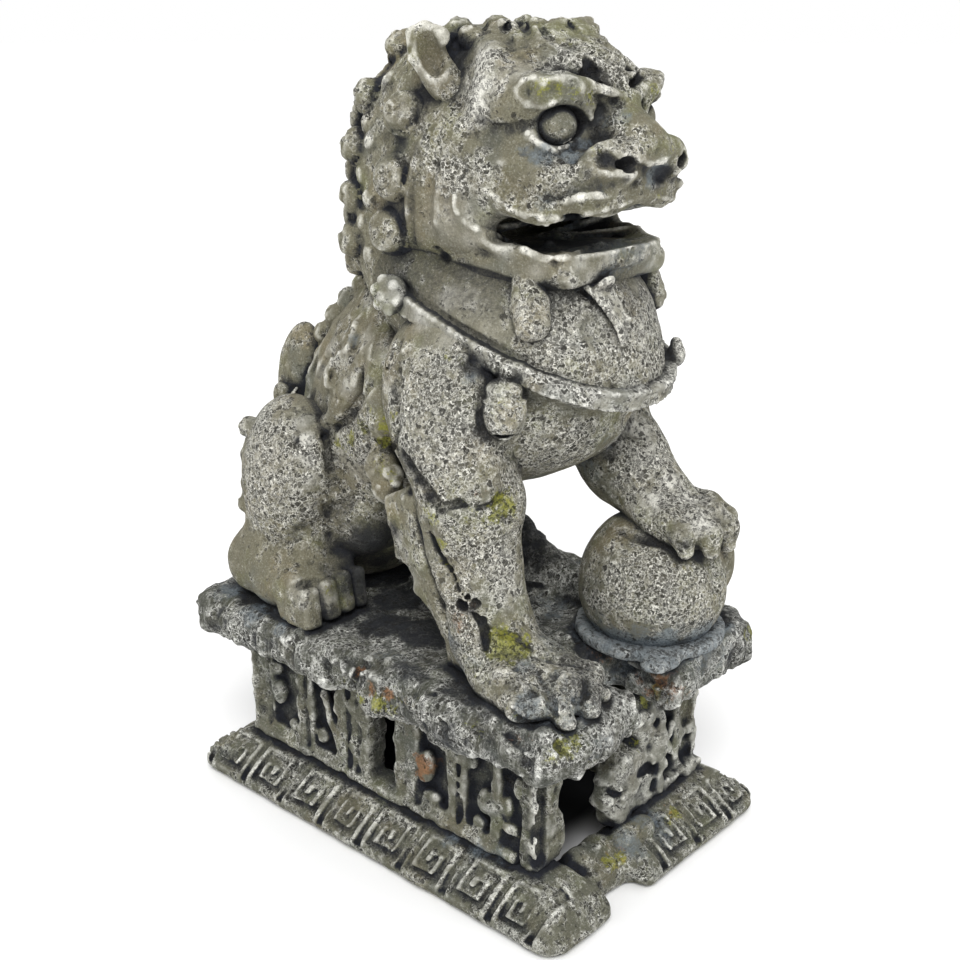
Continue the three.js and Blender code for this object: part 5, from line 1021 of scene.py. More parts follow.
BODY_LINES = [
    # hair over the back: folds and the groove beside the strap
    ("r", 1.5, 0.80, 0.7, 1, [(331, 334), (323, 350), (312, 372), (308, 396), (310, 418), (316, 440), (323, 470), (326, 500)]),
    ("r", 1.1, 0.80, 0.5, 1, [(354, 336), (348, 350), (335, 360), (328, 373), (329, 384), (335, 391)]),
    ("r", 1.3, 0.90, 0.5, 1, [(364, 312), (358, 323), (353, 335), (350, 348), (349, 362)]),
    ("r", 1.3, 0.90, 0.5, 1, [(375, 314), (372, 330), (367, 347), (360, 364), (355, 384)]),
    ("g", 0.6, 0.5, 0.4, 1, [(358, 334), (355, 347), (353, 360)]),
    ("g", 0.8, 0.7, 0.5, 1, [(343, 345), (336, 353), (325, 363), (318, 380), (317, 395)]),
    ("g", 0.9, 0.8, 0.4, 1, [(382, 322), (377, 345), (373, 366), (370, 384), (365, 398), (357, 408)]),
    ("g", 0.7, 0.9, 0.3, 1, [(357, 409), (349, 420), (337, 427), (323, 438)]),
    ("g", 0.5, 0.35, 0.4, 1, [(396, 362), (394, 390), (393, 415), (394, 440)]),
    ("g", 1.0, 1.0, 0.5, 1, [(376, 441), (386, 445), (398, 446)]),
    ("r", 0.9, 0.6, 0.5, 1, [(408, 334), (405, 350), (398, 368), (397, 386)]),
    ("g", 2.4, 0.6, 1.4, 1, [(422, 380), (416, 400), (409, 428)]),
    # behind the upper arm and round the elbow
    ("g", 1.3, 1.5, 0.5, 1, [(402, 452), (408, 462), (417, 478), (430, 497), (442, 511)]),
    ("g", 0.9, 1.2, 0.35, 1, [(443, 508), (463, 502), (477, 505), (487, 503), (497, 498), (504, 492)]),
    ("r", 1.5, 0.6, 0.8, 1, [(462, 497), (474, 499), (486, 496), (497, 488)]),
    ("g", 0.7, 0.6, 0.4, 1, [(487, 513), (500, 517), (514, 525)]),
    ("p", 1.3, 1.0, 0.4, 1, [(462, 363)]),
    ("g", 1.0, 0.8, 0.6, 0, [(478, 405), (482, 420), (484, 436)]),
    # rough tuft behind the elbow
    ("d", 0.8, 0.7, 0.3, 1, [(382, 461)]), ("d", 0.7, 0.7, 0.3, 1, [(392, 470)]), ("d", 0.8, 0.7, 0.3, 1, [(400, 481)]), ("d", 0.7, 0.6, 0.3, 1, [(388, 483)]), ("d", 0.8, 0.8, 0.3, 1, [(409, 492)]), ("d", 0.7, 0.6, 0.3, 1, [(396, 494)]), ("d", 0.7, 0.6, 0.3, 1, [(378, 474)]), ("d", 0.7, 0.6, 0.3, 1, [(404, 470)]),
    ("p", 1.1, 0.6, 0.4, 1, [(386, 472)]), ("p", 1.1, 0.6, 0.4, 1, [(396, 485)]), ("p", 1.0, 0.6, 0.4, 1, [(404, 497)]), ("p", 1.0, 0.5, 0.4, 1, [(414, 500)]), ("p", 0.9, 0.5, 0.4, 1, [(379, 486)]),
    # hair folds over the back
    ("g", 0.6, 0.5, 0.4, 1, [(322, 352), (314, 372), (311, 392)]), ("g", 0.6, 0.5, 0.4, 1, [(334, 370), (326, 392), (322, 412)]), ("g", 0.6, 0.5, 0.4, 1, [(346, 366), (340, 388), (330, 412)]), ("g", 0.6, 0.4, 0.4, 1, [(360, 322), (352, 334), (346, 348)]), ("g", 0.5, 0.4, 0.3, 1, [(342, 398), (336, 412), (326, 424)]),
    ("g", 0.6, 0.5, 0.4, 1, [(384, 336), (381, 360), (380, 392)]), ("g", 0.5, 0.4, 0.3, 1, [(390, 340), (388, 372), (387, 405)]),
    # haunch: smooth fold in front, pocked panel before it, belly edge
    ("g", 1.4, 0.35, 0.9, 1, [(327, 445), (331, 470), (333, 492)]),
    ("d", 0.9, 0.9, 0.3, 1, [(300, 444)]), ("d", 0.6, 0.7, 0.3, 1, [(298, 431)]), ("d", 0.6, 0.7, 0.3, 1, [(307, 458)]), ("d", 0.55, 0.6, 0.3, 1, [(304, 470)]), ("d", 0.55, 0.6, 0.3, 1, [(312, 466)]), ("d", 0.55, 0.6, 0.3, 1, [(296, 463)]),
    ("g", 0.5, 0.5, 0.3, 1, [(358, 481), (368, 487), (380, 494)]),
    ("g", 1.6, 1.4, 0.6, 1, [(318, 505), (330, 512), (345, 507), (358, 498)]),
    ("g", 1.4, 0.8, 0.8, 1, [(262, 545), (285, 538), (305, 530), (322, 520)]),
    # hind foot
    ("g", 1.0, 0.8, 0.5, 1, [(293, 588), (304, 585), (317, 580)]),
    # torn sheet and the shin
    ("g", 0.55, 1.2, 0.25, 0, [(428, 515), (430, 533), (436, 545), (442, 554), (452, 572), (458, 588), (463, 596)]),
    ("r", 0.9, 0.5, 0.4, 0, [(432, 512), (437, 532), (446, 552), (456, 572)]),
    ("d", 1.2, 2.0, 0.3, 0, [(462, 605)]), ("d", 0.9, 1.6, 0.3, 0, [(466, 597)]), ("d", 1.0, 1.4, 0.3, 0, [(475, 604)]),
    ("g", 0.8, 1.5, 0.3, 0, [(472, 613), (481, 622), (485, 634), (485, 650)]),
    ("g", 0.6, 0.9, 0.3, 0, [(493, 628), (503, 635), (517, 637), (527, 645), (533, 651)]),
    ("g", 0.8, 1.0, 0.4, 0, [(459, 676), (465, 690), (472, 699)]),
    ("r", 0.9, 0.5, 0.4, 0, [(467, 566), (472, 550), (474, 545)]),
    # fore foot: lumps and splits
    ("p", 3.4, 1.3, 0.6, 0, [(568, 682)]), ("p", 2.6, 0.9, 0.6, 0, [(520, 690)]), ("p", 2.4, 0.9, 0.5, 0, [(541, 705)]), ("p", 2.8, 0.9, 0.6, 0, [(503, 701)]), ("p", 2.2, 1.0, 0.5, 0, [(592, 699)]), ("p", 2.4, 0.7, 0.6, 0, [(500, 672)]), ("p", 1.8, 0.7, 0.4, 0, [(560, 712)]),
    ("g", 1.0, 0.9, 0.5, 0, [(536, 668), (546, 686), (552, 704), (556, 716)]), ("g", 0.9, 0.8, 0.5, 0, [(532, 656), (556, 661), (584, 667)]), ("g", 0.9, 0.7, 0.5, 0, [(512, 678), (522, 704), (530, 716)]), ("g", 0.8, 0.7, 0.4, 0, [(584, 676), (586, 692), (578, 706)]), ("g", 0.8, 0.7, 0.4, 0, [(488, 682), (508, 712), (530, 722)]),
    ("d", 1.2, 0.9, 0.4, 0, [(553, 676)]), ("d", 1.0, 0.9, 0.4, 0, [(534, 694)]), ("d", 0.9, 0.8, 0.4, 0, [(516, 668)]), ("d", 0.8, 0.8, 0.3, 0, [(575, 700)]),
    # left arm
    ("g", 0.9, 0.7, 0.5, 0, [(622, 416), (632, 430), (645, 440)]),
    ("g", 1.4, 0.6, 0.8, 0, [(640, 480), (655, 488), (672, 487)]),
]

PLINTH_LINES = {
    "top_slab": [
        ("d", 3.0, 1.6, 0.8, 0, [(368, 690)]), ("d", 2.4, 1.5, 0.7, 0, [(384, 700)]), ("d", 2.2, 1.2, 0.7, 0, [(352, 684)]), ("d", 1.6, 1.4, 0.5, 0, [(358, 680)]), ("d", 1.4, 1.2, 0.4, 0, [(396, 706)]),
        ("g", 1.2, 1.0, 0.6, 0, [(340, 652), (352, 660), (366, 664), (384, 668)]),
        ("p", 2.6, 0.9, 0.8, 0, [(404, 668)]), ("p", 2.0, 0.8, 0.7, 0, [(392, 662)]), ("p", 2.2, 0.8, 0.7, 0, [(338, 650)]), ("p", 2.6, 0.8, 0.8, 0, [(300, 632)]), ("p", 2.0, 0.7, 0.6, 0, [(424, 702)]),
        ("r", 0.9, 0.7, 0.4, 0, [(566, 728), (576, 722), (588, 717), (597, 708), (604, 699)]), ("r", 0.7, 0.5, 0.4, 0, [(430, 690), (446, 698), (462, 706), (478, 712)]),
        ("d", 2.4, 1.4, 0.6, 0, [(520, 766)]), ("d", 2.0, 1.2, 0.6, 0, [(520, 738)]), ("d", 1.6, 1.2, 0.5, 0, [(560, 748)]), ("g", 1.0, 0.9, 0.5, 0, [(500, 728), (512, 742), (530, 748)]),
        ("p", 2.2, 1.0, 0.6, 0, [(506, 752)]), ("p", 1.8, 0.8, 0.5, 0, [(545, 762)]), ("g", 0.9, 0.8, 0.5, 0, [(460, 722), (478, 732), (494, 744)]), ("d", 1.3, 1.1, 0.4, 0, [(444, 728)]),
        ("g", 1.0, 0.9, 0.5, 0, [(628, 664), (640, 676), (655, 682), (670, 684)]), ("d", 1.6, 1.0, 0.5, 0, [(650, 694)]), ("d", 1.4, 1.0, 0.5, 0, [(664, 698)]),
        ("g", 0.8, 0.8, 0.4, 0, [(578, 626), (578, 640), (580, 650)]), ("r", 0.7, 0.5, 0.4, 0, [(536, 628), (556, 632), (572, 640)]),
        ("g", 0.5, 0.35, 0.3, 0, [(528, 584), (548, 588), (572, 590)]), ("g", 0.5, 0.35, 0.3, 0, [(530, 600), (552, 606), (576, 606)]), ("g", 0.5, 0.3, 0.3, 0, [(530, 570), (548, 572), (566, 574)]),
    ],
    "ball": [
        ("g", 1.2, 0.7, 0.8, 0, [(706, 560), (716, 580), (714, 600)]), ("g", 0.8, 0.7, 0.4, 0, [(618, 530), (632, 538), (650, 542), (668, 545)]),
    ],
}


def sight(px, py):
    d = AHEAD + ASIDE * (px - 480) / FOC - ALOFT * (py - 480) / FOC
    return d / np.linalg.norm(d)


def meet(T, grid, sl, pts):
    """Where sight lines first meet a field: points and outward normals."""
    t = np.arange(120, 470, 0.3)
    out = []
    for px, py in pts:
        u = sight(px, py)
        P = EYE[None] + u[None] * t[:, None]
        v = trilin(T, grid, sl, P)
        i = int(np.argmax(v < 0))
        if v[i] < 0 and i:
            p = EYE + u * (t[i - 1] + 0.3 * v[i - 1] / max(v[i - 1] - v[i], 1e-6))
        else:
            p = EYE + u * t[int(np.argmin(v))]
        out.append(p)
    out = np.array(out)
    e = 0.9
    n = np.stack([trilin(T, grid, sl, out + e * a) - trilin(T, grid, sl, out - e * a) for a in np.eye(3)], 1)
    return out, n / np.maximum(np.linalg.norm(n, axis=1, keepdims=True), 1e-6)


def draw(T, grid, sl, lines):
    ops = []
    for kind, r, amt, k, two, pts in lines:
        p, n = meet(T, grid, sl, pts)
        if kind in "gd":
            c, mode = p + n * (r - amt), "-"
        else:
            c, mode = p + n * (amt - r), "+"
        o = ell(c[0], r, k=k, mode=mode) if len(c) == 1 else chain(c, [r * 0.6] + [r] * (len(c) - 2) + [r * 0.6] if len(c) > 2 else r, k=k, mode=mode, kk=0.3)
        ops.append(o)
        # the far side takes the line too, where its surface is the mirror of this one
        if two and np.abs(trilin(T, grid, sl, p * np.array((-1.0, 1, 1)))).max() < 0.9:
            ops.append(o.mirrored())
    return ops


def pock(T, grid, dents, n, rng, r0, r1, deep):
    """Small dents sunk into the surface at random, where dents(P) says how likely."""
    idx = np.flatnonzero(np.abs(T) < 0.35 * grid.h)
    idx = rng.choice(idx, min(len(idx), n * 6), replace=False)
    i, j, k = np.unravel_index(idx, T.shape)
    P = np.stack([grid.ax[0][i], grid.ax[1][j], grid.ax[2][k]], 1).astype(float)
    keep = rng.random(len(P)) < dents(P)
    P = P[keep][:n]
    whole = tuple(slice(0, m) for m in T.shape)
    e = 0.8
    N = np.stack([trilin(T, grid, whole, P + e * a) - trilin(T, grid, whole, P - e * a) for a in np.eye(3)], 1)
    N /= np.maximum(np.linalg.norm(N, axis=1, keepdims=True), 1e-6)
    R = r0 + (r1 - r0) * rng.random(len(P)) ** 2
    for p, nn, r in zip(P, N, R):
        o = ell(p + nn * r * (1 - deep), r, k=0.25, mode="-")
        apply_ops(grid, T, [o], margin=0.6)

# ------------------------------------------------------------------ joining the sculpt
GRIT = {"top_slab": (0.50, 0.46), "base_course": (0.20, 0.16), "wall_right": (0.30, 0.40), "wall_left": (0.30, 0.40), "wall_rear": (0.30, 0.40),
        "pier_front_right": (0.30, 0.42), "pier_front_left": (0.55, 0.78), "ball": (0.10, 0.08), "ball_dish": (0.26, 0.24),
        "right_eye": (0.0, 0.02), "left_eye": (0.0, 0.02), "collar": (0.08, 0.24), "right_bell": (0.08, 0.08), "left_bell": (0.08, 0.08),
        "right_rosette": (0.05, 0.08), "left_rosette": (0.05, 0.08),
        "beard_tuft": (0.04, 0.05), "right_beard_curl": (0.06, 0.10), "left_beard_curl": (0.06, 0.10)}


def paste(dst, sl, src, f):
    """dst[sl] = f(dst[sl], src)."""
    dst[sl] = f(dst[sl], src)


def apply_ops(grid, d, ops, margin=2.0):
    """Cuts or adds to a field over the whole grid."""
    for o in ops:
        s2 = grid.sl(o.lo - margin - o.k, o.hi + margin + o.k)
        if any(x.stop <= x.start for x in s2):
            continue
        v = np.broadcast_to(o.f(grid.pts(s2)).astype(F), d[s2].shape)
        if o.mode == "-":
            d[s2] = smax(d[s2], -v, o.k)
        else:
            d[s2] = smin(d[s2], v, o.k)


def roughen(grid, sl, d, low, mid, seed=0, streak=False):
    """Weathering: adds noise to the field close to its surface."""
    band = np.abs(d) < 1.7
    idx = np.flatnonzero(band)
    if not len(idx):
        return
    i, j, k = np.unravel_index(idx, d.shape)
    P = np.stack([grid.ax[0][sl[0].start + i], grid.ax[1][sl[1].start + j], grid.ax[2][sl[2].start + k]], 1).astype(float)
    n = low * fbm(P, 7.5, seed, 2) + mid * fbm(P, 2.3, seed + 5, 2)
    if streak:
        side = np.clip((41.6 - P[:, 2]) / 1.5, 0, 1)
        n = n + (0.50 * noise(P / np.array([1.0, 1.0, 3.6]), 1.7, seed + 9) + 0.45 * fbm(P, 3.4, seed + 13, 2)) * side + 0.22 * noise(P / np.array([3.0, 1.0, 1.0]), 1.5, seed + 17) * (1 - side)
        n = n + 3.0 * np.clip(0.20 - np.abs(noise(P * np.array([1.0, 1.0, 0.8]), 6.0, seed + 21)), 0, 1) * (0.45 + 0.55 * side) + 1.6 * np.clip(0.16 - np.abs(noise(P, 3.1, seed + 27)), 0, 1)
    d.ravel()[idx] += n.astype(F)


def tidy(V, Q):
    """Drops specks that hang loose beside the main body, and holds the bottom to the floor."""
    if not len(Q):
        return V, Q
    lab = np.arange(len(V))
    while True:
        m = lab[Q].min(1)
        new = lab.copy()
        for k in range(4):
            np.minimum.at(new, Q[:, k], m)
        new = new[new]
        if np.array_equal(new, lab):
            break
        lab = new
    root = lab[Q[:, 0]]
    ids, inv, cnt = np.unique(root, return_inverse=True, return_counts=True)
    Q = Q[cnt[inv] >= min(260, cnt.max())]
    used = np.unique(Q)
    back = np.zeros(len(V), np.int64)
    back[used] = np.arange(len(used))
    V = V[used].copy()
    V[:, 2] = np.maximum(V[:, 2], 0.0)
    return V, back[Q]


def sculpt(h, hb):
    """All pieces: {name: (verts mm, quads)}, with the joined field of the whole ornament for shading masks."""
    grid = Grid((-42, -58, -2), (42, 60, 160), h)
    D, blend, carve, E = lion()
    full = tuple(int(x) for x in grid.n)
    T = np.full(full, F(BIG))
    m1 = np.full(full, F(BIG))
    m2 = np.full(full, F(BIG))
    own = np.full(full, -1, np.int8)
    fields = {}
    for i, (name, ops) in enumerate(D.items()):
        sl, d = run(grid, ops)
        fields[name] = (sl, d)
        T[sl] = smin(T[sl], d, blend.get(name, 0.9))
        a, b = m1[sl], m2[sl]
        closer = d < a
        m2[sl] = np.where(closer, a, np.minimum(b, d))
        own[sl] = np.where(closer, np.int8(i), own[sl])
        m1[sl] = np.where(closer, d, a)
    apply_ops(grid, T, carve)
    whole = tuple(slice(0, n) for n in full)
    apply_ops(grid, T, draw(T, grid, whole, HEAD_LINES))
    apply_ops(grid, T, draw(T, grid, whole, BODY_LINES))
    pock(T, grid, lambda P: np.clip(patch(P, PITTED, 71, 0.5, 5.0) - patch(P, SMOOTH, 72, 0.5, 5.0) + 0.06, 0, 1) * 0.8 + 0.02, 3000, np.random.default_rng(4), 0.40, 0.80, 0.50)
    roughen(grid, whole, T, 0.16, 0.13, 3)
    out = {}
    for i, (name, (sl, d)) in enumerate(fields.items()):
        other = np.where(own[sl] == i, m2[sl], m1[sl])
        cell = (d - other) * F(0.5)
        p = T[sl] + F(1.2) * np.maximum(cell, 0)
        out[name] = tidy(*nets(p, grid, sl))
    G = T
    for n, ops in list(plinth().items()) + list(E.items()):
        fine = n in ("base_course", "collar", "right_eye", "left_eye", "right_rosette", "left_rosette", "right_bell", "left_bell", "beard_tuft", "right_beard_curl", "left_beard_curl")
        sl, d = run(grid, ops)
        lo, mi = GRIT[n]
        if n in PLINTH_LINES:
            more = draw(d, grid, sl, PLINTH_LINES[n])
            for o in more:
                s3 = grid.sl(o.lo - 2 - o.k, o.hi + 2 + o.k)
                s3 = tuple(slice(max(p.start, q.start), min(p.stop, q.stop)) for p, q in zip(s3, sl))
                if any(x.stop <= x.start for x in s3):
                    continue
                ls = tuple(slice(p.start - q.start, p.stop - q.start) for p, q in zip(s3, sl))
                v = o.f(grid.pts(s3)).astype(F)
                d[ls] = smax(d[ls], -v, o.k) if o.mode == "-" else smin(d[ls], v, o.k)
        if lo or mi:
            roughen(grid, sl, d, lo, mi, 11 if n != "top_slab" else 23, streak=(n == "top_slab"))
        G[sl] = np.minimum(G[sl], d)
        if fine and hb < h:
            g2 = Grid(np.min([o.lo for o in ops if o.mode == "+"], 0) - 3, np.max([o.hi for o in ops if o.mode == "+"], 0) + 3, hb)
            s2, d2 = run(g2, ops)
            if lo or mi:
                roughen(g2, s2, d2, lo, mi, 11)
            out[n] = tidy(*nets(d2, g2, s2))
        else:
            out[n] = tidy(*nets(d, grid, sl))
    return grid, G, out


def shade_masks(grid, G, V):
    """Per point: hollow (0 open to 1 deep, an occlusion measure that drives the painted shade), ridge (-1 to 1), and
    the normal.
    """
    whole = tuple(slice(0, n) for n in G.shape)
    e = grid.h
    N = np.stack([trilin(G, grid, whole, V + e * v) - trilin(G, grid, whole, V - e * v) for v in np.eye(3)], 1)
    N /= np.maximum(np.linalg.norm(N, axis=1, keepdims=True), 1e-6)
    base = trilin(G, grid, whole, V)
    t1 = np.cross(N, np.where(np.abs(N[:, 2:3]) < 0.9, np.array([[0, 0, 1.0]]), np.array([[1.0, 0, 0]])))
    t1 /= np.maximum(np.linalg.norm(t1, axis=1, keepdims=True), 1e-6)
    t2 = np.cross(N, t1)
    occ = np.zeros(len(V), F)
    wsum = 0.0
    for dist, w in ((1.0, 1.0), (2.2, 1.0), (4.0, 0.8), (6.5, 0.6)):
        v = trilin(G, grid, whole, V + N * dist)
        occ += w * np.clip((dist - v) / dist, 0, 1)
        wsum += w
        for k in range(5):
            a = 2 * np.pi * k / 5 + dist
            u = N * 0.62 + (t1 * np.cos(a) + t2 * np.sin(a)) * 0.78
            v = trilin(G, grid, whole, V + u * dist)
            occ += 0.35 * w * np.clip((dist * 0.62 - v) / (dist * 0.62), 0, 1)
            wsum += 0.35 * w
    occ /= wsum
    ridge = np.zeros(len(V), F)
    for s, w in ((0.8, 0.6), (1.6, 0.4)):
        m = sum(trilin(G, grid, whole, V + s * v) + trilin(G, grid, whole, V - s * v) for v in np.eye(3)) / 6
        ridge += w * (m - base) / s
    return occ, ridge, N

# ------------------------------------------------------------------ materials
class Net:
    """Small helper to wire shader nodes."""
    def __init__(s, mat):
        s.t = mat.node_tree
        s.n = s.t.nodes
        s.l = s.t.links

    def put(s, sock, v):
        if isinstance(v, bpy.types.NodeSocket):
            s.l.new(v, sock)
        else:
            sock.default_value = v

    def new(s, kind, **kw):
        n = s.n.new(kind)
        for k, v in kw.items():
            setattr(n, k, v)
        return n

    def math(s, op, a, b=0.0, c=0.0, clamp=False):
        n = s.new("ShaderNodeMath", operation=op, use_clamp=clamp)
        for i, v in enumerate((a, b, c)):
            s.put(n.inputs[i], v)
        return n.outputs[0]

    def vec(s, op, a, b=(0, 0, 0)):
        n = s.new("ShaderNodeVectorMath", operation=op)
        s.put(n.inputs[0], a)
        if op == "SCALE":
            s.put(n.inputs["Scale"], b)
        else:
            s.put(n.inputs[1], b)
        return n.outputs[0]

    def ramp(s, v, a, b, lo=0.0, hi=1.0, smooth=True):
        n = s.new("ShaderNodeMapRange", interpolation_type="SMOOTHSTEP" if smooth else "LINEAR", clamp=True)
        for i, x in enumerate((v, a, b, lo, hi)):
            s.put(n.inputs[i], x)
        return n.outputs[0]

    def mix(s, f, a, b, blend="MIX"):
        n = s.new("ShaderNodeMix", data_type="RGBA", blend_type=blend, clamp_factor=True)
        s.put(n.inputs[0], f)
        s.put(n.inputs[6], a if isinstance(a, bpy.types.NodeSocket) else (*a, 1))
        s.put(n.inputs[7], b if isinstance(b, bpy.types.NodeSocket) else (*b, 1))
        return n.outputs[2]

    def noise(s, v, scale, detail=3.0, rough=0.55):
        n = s.new("ShaderNodeTexNoise")
        s.put(n.inputs["Vector"], v)
        n.inputs["Scale"].default_value = scale
        n.inputs["Detail"].default_value = detail
        n.inputs["Roughness"].default_value = rough
        return n.outputs[0], n.outputs[1]

    def voro(s, v, scale, feature="F1"):
        n = s.new("ShaderNodeTexVoronoi", feature=feature)
        s.put(n.inputs["Vector"], v)
        n.inputs["Scale"].default_value = scale
        return n

    def attr(s, name):
        n = s.new("ShaderNodeAttribute", attribute_name=name)
        sep = s.new("ShaderNodeSeparateColor")
        s.l.new(n.outputs["Color"], sep.inputs[0])
        return sep.outputs


def resin(name, tone, pale, wash_and_shade, pit_bias=0.0, wash_and_shade_gain=1.0, brush=1.0, size=1.0, rough=0.86, bump=1.0, streak=0.0):
    """Cast resin: grey-tan paint, crazed pits with pale rims, dark wash in hollows that doubles as painted shade, dry
    brush on high places, stains, and painted shade where the tint's dark channel says.
    """
    m = bpy.data.materials.new(name)
    m.use_nodes = True
    g = Net(m)
    bsdf = g.n["Principled BSDF"]
    A = g.attr("form")      # hollow, ridge, pitted
    B = g.attr("stain")     # moss, rust, blue
    # brown and pale tints; the middle channel is painted shade
    C = g.attr("tint")      # brown, dark, pale
    P = g.vec("SCALE", g.new("ShaderNodeTexCoord").outputs["Object"], 1000.0)
    _, nc = g.noise(P, 1.1, 3.0, 0.7)
    Pd = g.vec("ADD", P, g.vec("SCALE", g.vec("SUBTRACT", nc, (0.5, 0.5, 0.5)), 1.9))
    big, bigc = g.noise(P, 0.10, 3.0)
    hue = g.new("ShaderNodeSeparateColor")
    g.l.new(bigc, hue.inputs[0])
    mid, _ = g.noise(P, 0.36, 4.0, 0.62)
    fine, _ = g.noise(P, 2.6, 3.0, 0.65)
    dens = g.math("ADD", A[2], g.math("ADD", g.math("MULTIPLY", g.math("SUBTRACT", mid, 0.5), 2.5), pit_bias))

    def dots(sz, gain, bias, lo, hi):
        v = g.voro(Pd, 1.0 / sz, "F1")
        d = v.outputs["Distance"]
        r = g.new("ShaderNodeSeparateColor")
        g.l.new(v.outputs["Color"], r.inputs[0])
        opened = g.math("MULTIPLY", g.math("SUBTRACT", g.math("ADD", g.math("MULTIPLY", dens, gain), bias), r.outputs[0]), 5.0, clamp=True)
        rad = g.math("MULTIPLY", opened, g.math("ADD", lo, g.math("MULTIPLY", r.outputs[1], hi - lo)))
        gap = g.math("SUBTRACT", d, rad)
        hole = g.math("MULTIPLY", g.ramp(gap, 0.07, -0.07), opened)
        rim = g.math("MULTIPLY", g.math("MULTIPLY", g.ramp(gap, 0.03, 0.12), g.ramp(gap, 0.40, 0.16)), opened)
        return hole, rim

    def web(sz, gain, bias):
        """Crazed paint: a pale web with some of its cells fallen out."""
        e = g.voro(Pd, 1.0 / sz, "DISTANCE_TO_EDGE").outputs["Distance"]
        r = g.new("ShaderNodeSeparateColor")
        g.l.new(g.voro(Pd, 1.0 / sz, "F1").outputs["Color"], r.inputs[0])
        opened = g.math("MULTIPLY", g.math("SUBTRACT", g.math("ADD", g.math("MULTIPLY", dens, gain), bias), r.outputs[0]), 5.0, clamp=True)
        hole = g.math("MULTIPLY", g.ramp(e, 0.06, 0.19), g.math("MULTIPLY", opened, g.math("ADD", 0.62, g.math("MULTIPLY", r.outputs[1], 0.38))))
        return hole, g.math("MULTIPLY", g.ramp(e, 0.14, 0.03), g.math("ADD", 0.55, g.math("MULTIPLY", opened, 0.45)))

    h0, r0 = dots(1.50 * size, 0.75, -0.22, 0.18, 0.38)
    h1, r1 = web(0.92 * size, 0.90, -0.05)
    h2, r2 = web(0.54 * size, 0.80, 0.02)
    hole = g.math("MAXIMUM", h0, g.math("MAXIMUM", h1, g.math("MULTIPLY", h2, 0.85)))
    rim = g.math("MAXIMUM", g.math("MULTIPLY", r0, 0.8), g.math("MAXIMUM", r1, g.math("MULTIPLY", r2, 0.58)))
    # paint
    col = g.mix(g.ramp(big, 0.36, 0.64), tone, tuple(c * f for c, f in zip(tone, (0.78, 0.78, 0.80))))
    col = g.mix(g.ramp(hue.outputs[0], 0.49, 0.66, 0.0, 0.75), col, (tone[0] * 0.86, tone[1] * 0.94, tone[2] * 0.56))
    col = g.mix(g.ramp(hue.outputs[1], 0.51, 0.68, 0.0, 0.65), col, (tone[0] * 1.12, tone[1] * 0.98, tone[2] * 0.80))
    col = g.mix(g.ramp(hue.outputs[2], 0.51, 0.67, 0.0, 0.75), col, (tone[0] * 0.68, tone[1] * 0.76, tone[2] * 0.92))
    col = g.mix(g.math("MULTIPLY", C[0], 0.80), col, (0.160, 0.134, 0.082))
    col = g.mix(g.ramp(mid, 0.60, 0.36, 0.0, 0.45), col, tuple(c * 0.50 for c in tone))
    col = g.mix(g.ramp(fine, 0.46, 0.72, 0.0, 0.60), col, tuple(c * 0.42 for c in tone))
    col = g.mix(g.ramp(fine, 0.46, 0.26, 0.0, 0.40), col, tuple(c * 0.58 for c in pale))
    col = g.mix(g.math("MULTIPLY", C[2], g.ramp(mid, 0.30, 0.62, 0.35, 1.0)), col, tuple(c * 0.58 for c in pale))
    if streak > 0:
        sn, _ = g.noise(g.vec("MULTIPLY", P, (0.55, 2.2, 0.30)), 1.0, 4.0, 0.65)
        col = g.mix(g.math("MULTIPLY", g.ramp(sn, 0.50, 0.72), streak), col, pale)
    # dry brush on ridges and round the pits
    rg = g.math("SUBTRACT", g.math("MULTIPLY", A[1], 2.0), 1.0)
    ed = g.math("ADD", rg, g.math("MULTIPLY", g.math("SUBTRACT", fine, 0.5), 0.42))
    br = g.math("ADD", g.math("MULTIPLY", g.ramp(ed, 0.11, 0.34), g.ramp(mid, 0.34, 0.60, 0.30, 0.95)), g.math("MULTIPLY", rim, g.ramp(g.math("ADD", dens, g.math("MULTIPLY", g.math("SUBTRACT", big, 0.5), 0.9)), 0.10, 0.62, 0.05, 1.0)))
    br = g.math("MULTIPLY", br, g.ramp(A[0], 0.58, 0.26))
    br = g.math("MULTIPLY", br, g.ramp(fine, 0.66, 0.44, 0.55, 1.0))
    col = g.mix(g.math("MULTIPLY", br, 1.0 * brush, clamp=True), col, pale)
    # dark wash, also painted shade: darkest where the form closes in round a point, and in creases
    hol = g.math("ADD", A[0], g.math("ADD", g.math("MULTIPLY", g.math("SUBTRACT", mid, 0.5), 0.34), g.math("MULTIPLY", g.math("SUBTRACT", fine, 0.5), 0.22)))
    wash_and_shade_amount = g.math("MAXIMUM", g.math("MULTIPLY", g.ramp(hol, 0.22, 0.60), 0.92), g.math("MULTIPLY", g.ramp(rg, -0.07, -0.36), 0.82))
    col = g.mix(g.math("MULTIPLY", wash_and_shade_amount, wash_and_shade_gain, clamp=True), col, wash_and_shade)
    col = g.mix(g.ramp(C[2], 0.80, 1.0, 0.0, 0.75), col, tuple(c * 0.85 for c in pale))
